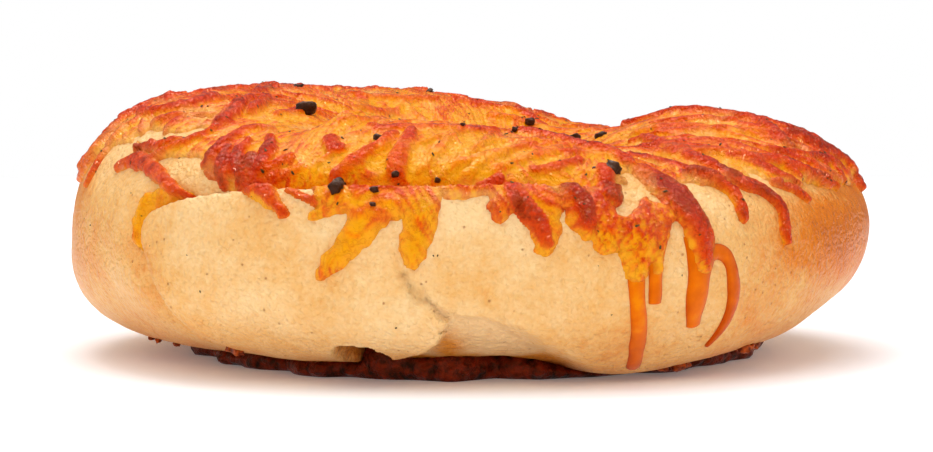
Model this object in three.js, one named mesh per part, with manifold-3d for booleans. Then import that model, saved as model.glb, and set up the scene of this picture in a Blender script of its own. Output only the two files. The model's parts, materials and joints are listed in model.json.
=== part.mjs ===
// A bagel baked under grated cheese. Three solids: the bread ring, the melted cheese that lies
// over its top and runs down its front, and the foot of burnt cheese that it stands on.
// Millimetres, +Z up, -Y is the front. Every point of the crust has two angles in degrees:
//   turn  round the hole, 0 at +X, 90 at the back, 180 at the left, 270 at the front
//   lap   round the ring's section, 0 at its outer side, 90 on top, 180 in the hole, 270 below
import * as THREE from 'three';
import { mergeVertices } from 'three/addons/utils/BufferGeometryUtils.js';
import Module from 'manifold-3d';

const wasm = await Module();
wasm.setup();

// ---------------------------------------------------------------- driving dimensions

// The ring's section at eight compass points, from the right and counter-clockwise.
// reach: outer radius, at height waist.  crest: radius of the highest point, at height top.
// hole: radius of the hole, at height throat.  under: radius of the lowest point, at height base.
// tuck, shoulder: how square the lower and upper outer quarters are, 2 being an ellipse.
const SECTION_SIZES = [
  'reach', 'waist', 'crest', 'top', 'hole', 'throat', 'under', 'base', 'tuck', 'shoulder',
];
const SECTIONS = [
  [57.7, 19, 33.5, 32.5, 11, 17, 33, 1.9, 2, 2],
  [56, 17, 34.5, 30.8, 10, 17, 33.5, 2, 2.1, 2.1],
  [55, 17, 34, 33.3, 10, 17, 33.5, 2, 2.2, 2.45],
  [56.5, 17, 33, 35.3, 11, 18, 34, 1.8, 2.2, 2.45],
  [57.8, 16.5, 33, 35.7, 11.5, 18, 34, 1.4, 2.3, 2.4],
  [57.4, 15, 34, 34.6, 11, 18, 34, 2, 2.3, 2.3],
  [55, 14.5, 32, 32.7, 10.5, 17, 33.5, 2.2, 2.8, 2.45],
  [56, 15.5, 34, 29.8, 11, 16, 34.5, 1.9, 2.5, 2.3],
];
const HOLE_SIDE = 2.1; // squareness of the half that faces the hole

// Soft swells of the proofed dough: centre, rise of the crust, and half-widths in degrees.
const SWELLS = [
  { turn: 190, lap: 62, rise: 0.5, wide: 26, tall: 26 }, // left shoulder
  { turn: 150, lap: 88, rise: 1.3, wide: 28, tall: 34 }, // hump at the back left
  { turn: 12, lap: 84, rise: 1.3, wide: 22, tall: 34 }, // knuckle at the right
  { turn: 60, lap: 92, rise: -2.1, wide: 16, tall: 40 }, // dip behind the knuckle
  { turn: 102, lap: 92, rise: 1.0, wide: 12, tall: 36 }, // back crown
  { turn: 262, lap: 92, rise: 1.0, wide: 20, tall: 36 }, // front crown
  { turn: 286, lap: 88, rise: 1.0, wide: 9, tall: 26 },
  { turn: 242, lap: 88, rise: 2.0, wide: 4, tall: 24 }, // fold left of the crown
  { turn: 232, lap: 100, rise: -1.2, wide: 12, tall: 40 }, // dip beside it
  { turn: 298, lap: 15, rise: 1.2, wide: 20, tall: 40 }, // belly, front right
  { turn: 238, lap: 0, rise: 1.0, wide: 20, tall: 36 }, // belly, front left
  { turn: 336, lap: 10, rise: -0.7, wide: 18, tall: 40 },
  { turn: 85, lap: 10, rise: 0.8, wide: 30, tall: 40 },
  { turn: 120, lap: -5, rise: -0.8, wide: 18, tall: 40 },
  { turn: 208, lap: -22, rise: -1.0, wide: 9, tall: 26 }, // hollow beside the side crease
  { turn: 299, lap: -62, rise: 1.5, wide: 16, tall: 22 }, // the right belly sags to the foot
  { turn: 276, lap: -70, rise: -0.8, wide: 10, tall: 20 },
];
// Waves round the ring and its section that keep the crust from being too even.
const WAVES = [
  { round: 3, across: 2, phase: 0.7, rise: 0.175 },
  { round: 5, across: -3, phase: 2.1, rise: 0.14 },
  { round: 8, across: 4, phase: 4.0, rise: 0.105 },
  { round: 11, across: -5, phase: 1.0, rise: 0.0875 },
  { round: 17, across: 3, phase: 5.2, rise: 0.07 },
];

// The front roll of dough laps over the rest: its edge as [turn, lap], from the foot at the left,
// up the side and along the front. The crust stands proud of it on one side and dips on the other.
const ROLL_EDGE = [
  [229, -62], [226.5, -36], [223.5, -13], [220.5, 2], [219, 9], [219.3, 17], [222.5, 23],
  [230, 29], [242, 33.5], [256, 36.8], [272, 39.5], [288, 41.5], [304, 43],
];
const ROLL = { rise: 1.1, riseReach: 7, drop: 2.4, dropReach: 3.2, wall: 0.9 };
const ROLL_FADE = { start: 0.12, end: 0.2 }; // shares of the edge's length over which it dies out
const ROLL_SIDE = { strength: 0.8, upTo: 0.3, over: 0.25 }; // it is fainter up the side of the bagel
const ROLL_SAMPLES = 60;

// The dough is torn low on the front: outlines as [turn, lap].
const RECESS = [ // where the roll has lifted off the foot
  [264.8, -5], [268.6, -11.5], [272, -13], [276, -19], [280, -31], [284, -46], [289, -60],
  [293, -86], [253, -86], [257, -62], [261.5, -50], [264.5, -38], [266, -26], [266.6, -15],
];
const RECESS_DEPTH = { top: 1.0, bottom: 5.4, from: -4, over: 42 };
const NOTCH = [
  [248.4, -48], [249.8, -40], [252.2, -37.5], [254.4, -38.5], [255.8, -45], [256.8, -52],
  [257.5, -90], [248, -90], [247.4, -62],
];
const NOTCH_DEPTH = 2.2;
const TEAR = [[260, 4], [261.2, 4.2], [261.8, 1.2], [263.4, -1.5], [264, -5], [263, -5.5], [262, -2.5]];
const TEAR_DEPTH = 1.1;
const PIT_WALL = 1.6; // width of the slope from the crust into a torn place

// Degrees of turn and lap as lengths on the front crust, for widths and distances.
const MM_PER_TURN = 0.95;
const MM_PER_LAP = 0.4;

// The cheese: a blanket of even thickness that ends, at each [turn], at one lap on the outer side
// and at another in the hole.
const CHEESE_THICKNESS = 1.3;
const CHEESE_LUMPS = [
  { round: 13, across: 3, phase: 0, rise: 0.3 },
  { round: 7, across: -9, phase: 1.4, rise: 0.25 },
];
const OUTER_EDGE = [
  [0, 21], [20, 26], [40, 20], [60, 27], [80, 22], [100, 28], [120, 20], [140, 27], [160, 21],
  [180, 22], [190, 29], [202, 39], [212, 41], [220, 47], [226, 47], [232, 38], [243, 33],
  [252, 31], [260, 29], [270, 37], [279, 33], [288, 27], [296, 20], [304, 22], [311, 34],
  [320, 39], [330, 37], [340, 34], [351, 24],
];
const INNER_EDGE = [
  [0, 150], [40, 140], [70, 128], [90, 120], [110, 122], [130, 135], [160, 150], [200, 160],
  [240, 152], [270, 158], [300, 150], [330, 158],
];
// Places where the blanket has pulled apart and the crust shows: centre and half-widths.
const BARE_LIFT = -0.4; // the blanket's height in a patch, below the crust
const BARE_CORE = 0.55; // share of a patch that is wholly bare
const BARE_PATCHES = [
  { turn: 296, lap: 40, wide: 2.2, tall: 7 },
  { turn: 325, lap: 52, wide: 4.5, tall: 5 },
  { turn: 345, lap: 55, wide: 5, tall: 6 },
  { turn: 105, lap: 62, wide: 7, tall: 9 },
  { turn: 52, lap: 48, wide: 6, tall: 7 },
  { turn: 152, lap: 42, wide: 6, tall: 7 },
];
// Lobes, runs and thick shreds of cheese: route as [turn, lap, half-width in mm], and thickness.
const RUNS = [
  { route: [[207, 46, 0.9], [211, 39, 1.2], [216, 35.6, 1.2], [221, 29.7, 1.2], [227, 21, 0.8]],
    thick: 1.2 },
  { route: [[231, 34, 0.8], [224, 25, 0.8], [219.6, 19.8, 1.0], [217.7, 13.5, 1.0], [218.5, 7, 0.7]],
    thick: 0.9 },
  { route: [[236, 41, 1.3], [239.5, 27, 1.2], [243, 17, 0.7]], thick: 1.1 },
  { route: [[256, 30, 1.4], [251, 25, 1.1], [248.2, 22, 0.8]], thick: 1.0 },
  { route: [[256, 34, 3.0], [255, 20, 2.6], [252.5, 9, 1.9], [249.5, 2.5, 0.9]], thick: 1.3 },
  { route: [[264, 34, 2.8], [262.6, 17, 2.3], [262, 7, 1.2]], thick: 1.3 },
  { route: [[277, 36, 1.9], [274.4, 26, 1.5], [272.6, 21, 0.9]], thick: 1.2 },
  { route: [[282, 36, 2.6], [280.8, 22, 2.2], [280.2, 12, 1.3]], thick: 1.5 },
  { route: [[287, 34, 2.4], [287, 21, 2.2], [288.2, 13, 1.5]], thick: 1.4 },
  { route: [[292, 32, 3.2], [292.5, 18, 3.0], [293.5, 9, 2.2]], thick: 1.4 },
  { route: [[293.6, 12, 1.3], [293.5, -3, 1.2], [295.8, -30, 1.0], [298.2, -57, 1.1]], thick: 1.0 },
  { route: [[297, 26, 1.5], [296.3, 8, 1.2], [296.3, -9, 0.9]], thick: 1.0 },
  { route: [[300.5, 50, 2.8], [299.8, 30, 2.6], [302.2, 17, 1.9], [303, 6, 1.3]], thick: 1.8 },
  { route: [[303, 10, 1.3], [303.3, -6, 1.2], [304.5, -27, 1.2]], thick: 1.1 },
  { route: [
    [304, 0, 0.8], [305.3, 8, 0.9], [308, 8.5, 1.0], [309.4, 0, 1.0], [310, -18, 0.9], [309.6, -42, 0.5],
  ],
  thick: 0.9 },
  { route: [[302, 66, 1.8], [310, 57, 1.8], [313, 45, 1.5], [313.8, 32, 1.1], [313.2, 23, 0.9]],
    thick: 1.6 },
  { route: [[312, 50, 1.6], [317, 42, 1.5], [320.5, 34, 1.4], [321.6, 23, 1.3], [321.9, 9, 0.9]],
    thick: 1.5 },
  { route: [[322, 66, 1.3], [329.5, 54, 1.4], [332, 39, 1.2], [337.5, 28, 0.9]], thick: 1.5 },
  { route: [[300, 84, 1.5], [318, 74, 1.7], [336, 60, 1.6], [350, 40, 1.4], [354, 17, 1.0]], thick: 1.5 },
  { route: [[312, 96, 1.5], [333, 84, 1.7], [351, 66, 1.6], [0, 42, 1.3], [2, 20, 0.9]], thick: 1.5 },
  { route: [[204, 44, 1.0], [210, 52, 1.3], [215, 62, 1.2]], thick: 1.5 },
  { route: [[219.6, 52, 1.3], [219.4, 68, 1.4], [214, 80, 1.2]], thick: 1.6 },
  { route: [[216, 78, 1.2], [208, 90, 1.4], [199, 98, 1.1]], thick: 1.5 },
  { route: [[194, 40, 1.0], [193, 56, 1.2], [198, 70, 1.1]], thick: 1.4 },
  { route: [[230, 50, 2.0], [236, 44, 3.2], [242, 47, 2.0]], thick: 1.7 },
  { route: [[258, 46, 1.3], [258.4, 60, 1.3], [259, 78, 1.2], [264, 90, 1.0]], thick: 1.5 },
  { route: [[278, 62, 1.2], [286, 70, 1.4], [296, 72, 1.2]], thick: 1.5 },
  { route: [[130, 60, 1.2], [138, 44, 1.3], [140, 20, 1.2], [141, 4, 0.8]], thick: 1.3 },
  { route: [[92, 52, 1.4], [90, 30, 1.4], [91, 8, 1.1], [90, -8, 0.7]], thick: 1.3 },
  { route: [[24, 56, 1.4], [26, 34, 1.3], [24, 12, 0.9]], thick: 1.4 },
  { route: [[172, 48, 1.2], [168, 28, 1.2], [169, 10, 0.8]], thick: 1.3 },
];
const RUN_SIDES = 5;
// Shreds that melted least, strewn over the blanket and standing proud of it.
const SHREDS = {
  count: 12, seed: 11, turns: [0, 360], laps: [58, 138], length: 12, stretch: [0.7, 1.2],
  width: 1.3, thick: 1.0, lift: 1.3, bow: 5, slant: [-0.35, 0.75],
};
// Charred scraps of onion on the cheese.
const CHARRED_BITS = [
  { turn: 213.3, lap: 104, size: 1.5 },
  { turn: 250.9, lap: 35, size: 1.1 },
  { turn: 294.8, lap: 58, size: 1.2 },
  { turn: 144, lap: 93, size: 1.1 },
  { turn: 253.5, lap: 67, size: 0.8 },
  { turn: 46, lap: 118, size: 0.9 },
  { turn: 22, lap: 122, size: 0.9 },
];
const BIT_SHAPE = [2, 1.5, 1.4]; // its length, width and height for a size of 1
const BIT_LIFT = 0.15; // height of its middle over the blanket, for a size of 1
const BIT_TURNS = { z: 1.3, x: 0.7 }; // radians by which each is turned more than the one before

// The foot: a flat ring of cheese that ran off and burnt, [turn, outer radius].
const FOOT_EDGE = [
  [0, 41.5], [45, 40], [90, 40], [135, 40], [180, 39], [215, 39], [240, 40], [262, 40],
  [285, 38.5], [305, 39], [330, 40.5],
];
const FOOT_LUMPS = [{ round: 14, phase: 0, rise: 0.8 }, { round: 23, phase: 1, rise: 0.7 }];
const FOOT_BEVEL = 1.4; // how far the top of the rim is set in from its widest point
const FOOT_UNDERCUT = 0.6; // how far its underside is
const FOOT_RIM = 0.55; // height of the widest point, as a share of the room under the bread

const GAP = 0.3; // between touching solids

// Sampling of the crust. It is finer on the front and on the outer side, where the detail is.
const FRONT = { from: 205, to: 330 };
const FRONT_COLUMN = 3.05;
const OTHER_COLUMN = 8.0;
const SIDE = { from: -70, to: 60 };
const SIDE_ROW = 6.2;
const OTHER_ROW = 19;
// Rows of the blanket: at the outer edge and at the hole as [lap from the edge, share of its full
// height over the crust], and how many lie between them on top and, hidden, inside the bread.
const BLANKET_OUTER_ROWS = [[-7, -0.5], [0, 0.12], [2.2, 0.78], [6, 1], [12, 1], [19, 1]];
const BLANKET_HOLE_ROWS = [[-6, 1], [0, 0.12], [9, -0.5]];
const BLANKET_TOP_ROWS = 7;
const BLANKET_HIDDEN_ROWS = 3;
const SLOPE_STEP = 0.4; // degrees, for the crust's slope

const BREAD_MATERIAL = { name: 'crust', color: 0xe9bd7c, roughness: 0.62, metalness: 0 };
const CHEESE_MATERIAL = { name: 'melted_cheese', color: 0xe8922b, roughness: 0.38, metalness: 0 };
const FOOT_MATERIAL = { name: 'burnt_cheese', color: 0x4a1a0c, roughness: 0.55, metalness: 0 };

// ---------------------------------------------------------------- small helpers

const radians = THREE.MathUtils.degToRad;
const wrapDegrees = (angle) => THREE.MathUtils.euclideanModulo(angle + 180, 360) - 180;
const wholeTurn = (angle) => THREE.MathUtils.euclideanModulo(angle, 360);
const bell = (x, width) => Math.exp(-((x / width) ** 2));
const softStep = (x) => THREE.MathUtils.smoothstep(x, 0, 1);

/** Cubic blend of four neighbouring values, passing through the middle two. */
function catmullRom(before, here, next, after, share) {
  const slope = next - before;
  const bend = 2 * before - 5 * here + 4 * next - after;
  const twist = 3 * here - before - 3 * next + after;
  return 0.5 * (2 * here + (slope + (bend + twist * share) * share) * share);
}

/** A value given at a few turns, [turn, value], eased from one to the next round the ring. */
function roundTheRing(table, turn) {
  const angle = wholeTurn(turn);
  let next = table.findIndex(([at]) => at > angle);
  if (next < 0) next = table.length;
  const [from, low] = table[next - 1];
  const [to, high] = next < table.length ? table[next] : [360, table[0][1]];
  return THREE.MathUtils.lerp(low, high, softStep((angle - from) / (to - from)));
}

// ---------------------------------------------------------------- the crust's surface

/** The ring's section at a turn, blended from the compass points. */
function sectionAt(turn) {
  const spacing = 360 / SECTIONS.length;
  const place = wholeTurn(turn) / spacing;
  const index = Math.floor(place);
  const near = [-1, 0, 1, 2].map((offset) => SECTIONS[(index + offset + SECTIONS.length) % SECTIONS.length]);
  const section = {};
  SECTION_SIZES.forEach((name, i) => {
    section[name] = catmullRom(...near.map((sizes) => sizes[i]), place - index);
  });
  return section;
}

/** How far the torn place under the front roll is set back, in mm towards the hole. */
function setBack(turn, lap) {
  const depth = THREE.MathUtils.lerp(
    RECESS_DEPTH.top, RECESS_DEPTH.bottom, softStep((RECESS_DEPTH.from - lap) / RECESS_DEPTH.over));
  return depth * softStep(insideOutline(turn, lap, RECESS) / PIT_WALL + 0.5);
}

/** The point of the plain ring, before its relief. */
function ringPoint(turn, lap) {
  const section = sectionAt(turn);
  const across = Math.cos(radians(lap));
  const up = Math.sin(radians(lap));
  const middle = up >= 0 ? section.crest : section.under;
  const outerSquareness = up >= 0 ? section.shoulder : section.tuck;
  const power = 2 / (across >= 0 ? outerSquareness : HOLE_SIDE);
  const width = across >= 0 ? section.reach - middle : section.hole - middle;
  const side = across >= 0 ? section.waist : section.throat;
  const height = up >= 0 ? section.top - side : section.base - side;
  const radius = middle + width * Math.abs(across) ** power;
  const rise = height * Math.abs(up) ** power;
  return new THREE.Vector3(radius * Math.cos(radians(turn)), radius * Math.sin(radians(turn)), side + rise);
}

/** The outward direction of the plain ring. */
function ringNormal(turn, lap) {
  const around = ringPoint(turn + SLOPE_STEP, lap).sub(ringPoint(turn - SLOPE_STEP, lap));
  const upward = ringPoint(turn, lap + SLOPE_STEP).sub(ringPoint(turn, lap - SLOPE_STEP));
  return around.cross(upward).normalize();
}

const flat = (turn, lap) => new THREE.Vector2(turn * MM_PER_TURN, lap * MM_PER_LAP);
const rollCurve = new THREE.SplineCurve(ROLL_EDGE.map(([turn, lap]) => flat(turn, lap)));
const rollEdge = rollCurve.getPoints(ROLL_SAMPLES);

/** Distance in mm to the roll's edge, positive on the roll, and the share of the edge's length there. */
function fromRollEdge(turn, lap) {
  const here = flat(turn, lap);
  let best = { distance: Infinity, share: 0 };
  for (let i = 1; i < rollEdge.length; i += 1) {
    const stretch = rollEdge[i].clone().sub(rollEdge[i - 1]);
    const offset = here.clone().sub(rollEdge[i - 1]);
    const share = THREE.MathUtils.clamp(offset.dot(stretch) / stretch.lengthSq(), 0, 1);
    const gap = offset.clone().addScaledVector(stretch, -share);
    if (gap.length() < Math.abs(best.distance)) {
      const side = stretch.cross(offset) > 0 ? -1 : 1;
      best = { distance: side * gap.length(), share: (i - 1 + share) / (rollEdge.length - 1) };
    }
  }
  return best;
}

/** Distance in mm to a closed outline, positive inside. */
function insideOutline(turn, lap, outline) {
  const here = flat(turn, lap);
  let nearest = Infinity;
  let inside = false;
  outline.forEach((corner, i) => {
    const from = flat(...corner);
    const to = flat(...outline[(i + 1) % outline.length]);
    const edge = to.clone().sub(from);
    const share = THREE.MathUtils.clamp(here.clone().sub(from).dot(edge) / edge.lengthSq(), 0, 1);
    nearest = Math.min(nearest, here.distanceTo(from.clone().addScaledVector(edge, share)));
    const crosses = from.y > here.y !== to.y > here.y;
    if (crosses && here.x < from.x + (edge.x * (here.y - from.y)) / edge.y) inside = !inside;
  });
  return inside ? nearest : -nearest;
}

/** Height of the crust over the plain ring: swells, waves, the roll's edge and the torn places. */
function relief(turnAnywhere, lapAnywhere) {
  const turn = wholeTurn(turnAnywhere);
  const lap = wrapDegrees(lapAnywhere);
  let height = 0;
  for (const swell of SWELLS) {
    height += swell.rise * bell(wrapDegrees(turn - swell.turn), swell.wide)
      * bell(wrapDegrees(lap - swell.lap), swell.tall);
  }
  for (const wave of WAVES) {
    height += wave.rise * Math.sin(wave.round * radians(turn) + wave.across * radians(lap) + wave.phase);
  }
  const { distance, share } = fromRollEdge(turn, lap);
  const fade = softStep(share / ROLL_FADE.start) * softStep((1 - share) / ROLL_FADE.end);
  const strength = fade * THREE.MathUtils.lerp(
    ROLL_SIDE.strength, 1, softStep((share - ROLL_SIDE.upTo) / ROLL_SIDE.over));
  const onRoll = softStep(distance / ROLL.wall + 0.5);
  height += strength * onRoll * ROLL.rise * bell(Math.max(distance, 0), ROLL.riseReach);
  height -= strength * (1 - onRoll) * ROLL.drop * bell(Math.min(distance, 0), ROLL.dropReach);
  height -= NOTCH_DEPTH * softStep(insideOutline(turn, lap, NOTCH) / PIT_WALL + 0.5);
  height -= TEAR_DEPTH * softStep(insideOutline(turn, lap, TEAR) / PIT_WALL + 0.5);
  return height;
}

/** A point over the crust, or under it where lift is negative. */
function crustPoint(turn, lap, lift = 0) {
  const point = ringPoint(turn, lap).addScaledVector(ringNormal(turn, lap), relief(turn, lap) + lift);
  const back = setBack(wholeTurn(turn), wrapDegrees(lap));
  const towardsHole = new THREE.Vector3(-Math.cos(radians(turn)), -Math.sin(radians(turn)), 0);
  return point.addScaledVector(towardsHole, back);
}

// ---------------------------------------------------------------- meshes and solids

/** Angles from one value to another at an even step of about the given size, without the last. */
function anglesBetween(from, to, step) {
  const count = Math.round((to - from) / step);
  return Array.from({ length: count }, (_, i) => from + ((to - from) * i) / count);
}

const breadTurns = [
  ...anglesBetween(FRONT.from, FRONT.to, FRONT_COLUMN),
  ...anglesBetween(FRONT.to, FRONT.from + 360, OTHER_COLUMN),
];
const sideLaps = anglesBetween(SIDE.from, SIDE.to, SIDE_ROW);
const breadLaps = [...sideLaps, ...anglesBetween(SIDE.to, SIDE.from + 360, OTHER_ROW)];

/**
 * A closed ring through a grid of points, pointAt(turn, lap), with both angles increasing.
 * rising says which diagonal splits each cell: two rings that touch along a facet, one passing it
 * with lap increasing and the other with lap decreasing, take one diagonal each.
 */
function ringMesh(turns, laps, pointAt, rising = true) {
  const positions = [];
  const triangles = [];
  turns.forEach((turn, column) => {
    const nextColumn = (column + 1) % turns.length;
    laps.forEach((lap, row) => {
      positions.push(...pointAt(turn, lap).toArray());
      const nextRow = (row + 1) % laps.length;
      const corner = [column, nextColumn].flatMap((c) => [c * laps.length + row, c * laps.length + nextRow]);
      const halves = rising ? [0, 2, 3, 0, 3, 1] : [0, 2, 1, 1, 2, 3];
      triangles.push(...halves.map((which) => corner[which]));
    });
  });
  const geometry = new THREE.BufferGeometry();
  geometry.setAttribute('position', new THREE.Float32BufferAttribute(positions, 3));
  geometry.setIndex(triangles);
  return geometry;
}

/** A closed mesh as a solid that can be joined and cut. */
function toSolid(geometry) {
  const bare = geometry.clone();
  bare.deleteAttribute('normal');
  bare.deleteAttribute('uv');
  const merged = mergeVertices(bare);
  return new wasm.Manifold(new wasm.Mesh({
    numProp: 3,
    vertProperties: new Float32Array(merged.attributes.position.array),
    triVerts: new Uint32Array(merged.index.array),
  }));
}

/** A solid as a mesh, without any scrap that is loose from its main body. */
function toGeometry(solid) {
  const bodies = solid.decompose().sort((a, b) => b.volume() - a.volume());
  const { vertProperties, triVerts } = bodies[0].getMesh();
  const geometry = new THREE.BufferGeometry();
  geometry.setAttribute('position', new THREE.BufferAttribute(vertProperties, 3));
  geometry.setIndex(new THREE.BufferAttribute(triVerts, 1));
  geometry.computeVertexNormals();
  return geometry;
}

function pieceOf(name, geometry, material) {
  const piece = new THREE.Mesh(geometry, new THREE.MeshStandardMaterial(material));
  piece.name = name;
  return piece;
}

// ---------------------------------------------------------------- bread

function makeBread() {
  const geometry = ringMesh(breadTurns, breadLaps, (turn, lap) => crustPoint(turn, lap));
  geometry.computeVertexNormals();
  return geometry;
}

// ---------------------------------------------------------------- cheese

/** The blanket's rows at a turn, from under the outer edge, over the top and back inside the bread. */
function blanketRows(turn) {
  const rowsFrom = (edge, rows) => {
    const start = roundTheRing(edge, turn);
    return rows.map(([offset, height]) => [start + offset, height]);
  };
  const outer = rowsFrom(OUTER_EDGE, BLANKET_OUTER_ROWS);
  const hole = rowsFrom(INNER_EDGE, BLANKET_HOLE_ROWS);
  const between = (from, to, count) => Array.from({ length: count }, (_, row) => {
    const share = (row + 1) / (count + 1);
    return [0, 1].map((i) => THREE.MathUtils.lerp(from[i], to[i], share));
  });
  const closing = [outer[0][0] + 360, outer[0][1]];
  return [
    ...outer, ...between(outer.at(-1), hole[0], BLANKET_TOP_ROWS),
    ...hole, ...between(hole.at(-1), closing, BLANKET_HIDDEN_ROWS),
  ];
}

/** Height of the blanket's top over the crust, with lumps and with a dip to below it in a bare patch. */
function blanketTop(turn, lap) {
  let height = GAP + CHEESE_THICKNESS;
  for (const lump of CHEESE_LUMPS) {
    height += lump.rise * Math.sin(lump.round * radians(turn) + lump.across * radians(lap) + lump.phase);
  }
  for (const patch of BARE_PATCHES) {
    const away = Math.hypot(wrapDegrees(turn - patch.turn) / patch.wide, (lap - patch.lap) / patch.tall);
    height = THREE.MathUtils.lerp(BARE_LIFT, height, softStep((away - BARE_CORE) / (1 - BARE_CORE)));
  }
  return height;
}

function makeBlanket() {
  const rows = Object.keys(blanketRows(0)).map(Number);
  return ringMesh(breadTurns, rows, (turn, row) => {
    const [lap, height] = blanketRows(turn)[row];
    const lift = height < 1 ? height * (GAP + CHEESE_THICKNESS) : blanketTop(turn, lap);
    return crustPoint(turn, lap, lift);
  });
}

/** A flattened strand that lies along its route on the crust, closed by a tip at each end. */
function makeRun({ route, thick, lift = GAP }) {
  const nearTurn = (turn) => route[0][0] + wrapDegrees(turn - route[0][0]);
  const curve = new THREE.CatmullRomCurve3(
    route.map(([turn, lap, width]) => new THREE.Vector3(nearTurn(turn), lap, width)));
  const steps = route.length + 1;
  const stations = curve.getPoints(steps + 1);
  const places = stations.map((station) => crustPoint(station.x, station.y, lift));
  const positions = [...places[0].toArray()];
  for (let i = 1; i <= steps; i += 1) {
    const normal = ringNormal(stations[i].x, stations[i].y);
    const along = places[i + 1].clone().sub(places[i - 1]).normalize();
    const sideways = along.clone().cross(normal).normalize();
    const rounding = Math.sqrt(Math.sin((Math.PI * i) / (steps + 1)));
    const width = stations[i].z * (0.5 + 0.5 * rounding);
    for (let side = 0; side < RUN_SIDES; side += 1) {
      const angle = (2 * Math.PI * side) / RUN_SIDES - Math.PI / 2;
      const point = places[i].clone()
        .addScaledVector(sideways, width * Math.cos(angle))
        .addScaledVector(normal, thick * rounding * Math.sin(angle));
      positions.push(...point.toArray());
    }
  }
  positions.push(...places[steps + 1].toArray());
  const last = positions.length / 3 - 1;
  const triangles = [];
  for (let side = 0; side < RUN_SIDES; side += 1) {
    const next = (side + 1) % RUN_SIDES;
    triangles.push(0, 1 + side, 1 + next);
    for (let i = 0; i < steps - 1; i += 1) {
      const here = 1 + i * RUN_SIDES;
      const there = here + RUN_SIDES;
      triangles.push(here + side, there + side, there + next, here + side, there + next, here + next);
    }
    triangles.push(last, last - RUN_SIDES + next, last - RUN_SIDES + side);
  }
  const geometry = new THREE.BufferGeometry();
  geometry.setAttribute('position', new THREE.Float32BufferAttribute(positions, 3));
  geometry.setIndex(triangles);
  return geometry;
}

/** Routes of the shreds on top, each at its own place and slant. */
function shredRuns() {
  const random = THREE.MathUtils.seededRandom;
  random(SHREDS.seed);
  const between = ([low, high]) => THREE.MathUtils.lerp(low, high, random());
  return Array.from({ length: SHREDS.count }, () => {
    const turn = between(SHREDS.turns);
    const lap = between(SHREDS.laps);
    const slant = between(SHREDS.slant) * Math.PI;
    const reach = (SHREDS.length / 2) * between(SHREDS.stretch);
    const bow = between([-SHREDS.bow, SHREDS.bow]);
    const along = [(Math.cos(slant) * reach) / MM_PER_TURN, (Math.sin(slant) * reach) / MM_PER_LAP];
    const route = [-1, 0, 1].map((end) => [
      turn + along[0] * end, lap + along[1] * end + bow * (1 - end * end), SHREDS.width]);
    return { route, thick: SHREDS.thick, lift: SHREDS.lift };
  });
}

/** A charred scrap, half sunk in the cheese and turned its own way. */
function makeCharredBit({ turn, lap, size }, index) {
  const geometry = new THREE.BoxGeometry(...BIT_SHAPE.map((side) => side * size));
  geometry.rotateZ(index * BIT_TURNS.z);
  geometry.rotateX(index * BIT_TURNS.x);
  const place = crustPoint(turn, lap, GAP + CHEESE_THICKNESS + BIT_LIFT * size);
  geometry.translate(place.x, place.y, place.z);
  return geometry;
}

/** The blanket with all that lies on it, cut from below by the bread and the gap that it keeps. */
function makeCheese() {
  let cheese = toSolid(makeBlanket());
  for (const run of [...RUNS, ...shredRuns()]) cheese = cheese.add(toSolid(makeRun(run)));
  CHARRED_BITS.forEach((bit, index) => {
    cheese = cheese.add(toSolid(makeCharredBit(bit, index)));
  });
  const bread = toSolid(ringMesh(breadTurns, breadLaps, (turn, lap) => crustPoint(turn, lap, GAP)));
  return toGeometry(cheese.subtract(bread));
}

// ---------------------------------------------------------------- foot

/** The foot's outline at a turn, as [radius, height] from its underside out, up and back in. */
function footProfile(turn) {
  const lumps = FOOT_LUMPS.reduce(
    (sum, lump) => sum + lump.rise * Math.sin(lump.round * radians(turn) + lump.phase), 0);
  const outer = roundTheRing(FOOT_EDGE, turn) + lumps;
  // The top lies along the bread's lowest facets, a gap below them.
  const [innermost, lowest, side] = [breadLaps.at(-2), breadLaps.at(-1), SIDE.from].map((lap) => {
    const point = crustPoint(turn, lap, GAP);
    return [Math.hypot(point.x, point.y), point.z];
  });
  const share = THREE.MathUtils.clamp((outer - FOOT_BEVEL - lowest[0]) / (side[0] - lowest[0]), 0, 1);
  const top = [0, 1].map((i) => THREE.MathUtils.lerp(lowest[i], side[i], share));
  return [
    [outer - FOOT_UNDERCUT, 0], [outer, FOOT_RIM * top[1]], top, lowest, innermost, [innermost[0], 0],
  ];
}

/** A flat ring of burnt cheese with a lumpy rim. */
function makeFoot() {
  const corners = Object.keys(footProfile(0)).map(Number);
  const geometry = ringMesh(breadTurns, corners, (turn, corner) => {
    const [radius, height] = footProfile(turn)[corner];
    return new THREE.Vector3(radius * Math.cos(radians(turn)), radius * Math.sin(radians(turn)), height);
  }, false);
  geometry.computeVertexNormals();
  return geometry;
}

// ---------------------------------------------------------------- the whole bagel

const bagel = new THREE.Group();
bagel.add(
  pieceOf('bread', makeBread(), BREAD_MATERIAL),
  pieceOf('cheese', makeCheese(), CHEESE_MATERIAL),
  pieceOf('cheese_base', makeFoot(), FOOT_MATERIAL),
);

// The origin is the middle of the bagel's footprint, on the ground.
const extent = new THREE.Box3().setFromObject(bagel);
const middle = extent.getCenter(new THREE.Vector3());
bagel.position.set(-middle.x, -middle.y, -extent.min.z);

export default bagel;
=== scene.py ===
"""A bagel baked under grated cheese: crust, melted cheese, its burnt foot and what is strewn on it.

Sizes are in millimetres until a mesh is made. Every point of the crust has two angles in degrees:
turn goes round the hole (0 right, 90 back, 180 left, 270 front) and lap round the ring's section
(0 at its outer side, 90 on top, 180 in the hole, 270 below).
"""
import json
import logging
import math
from dataclasses import dataclass, field
from enum import Enum
from typing import Optional, Sequence, Union

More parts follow.
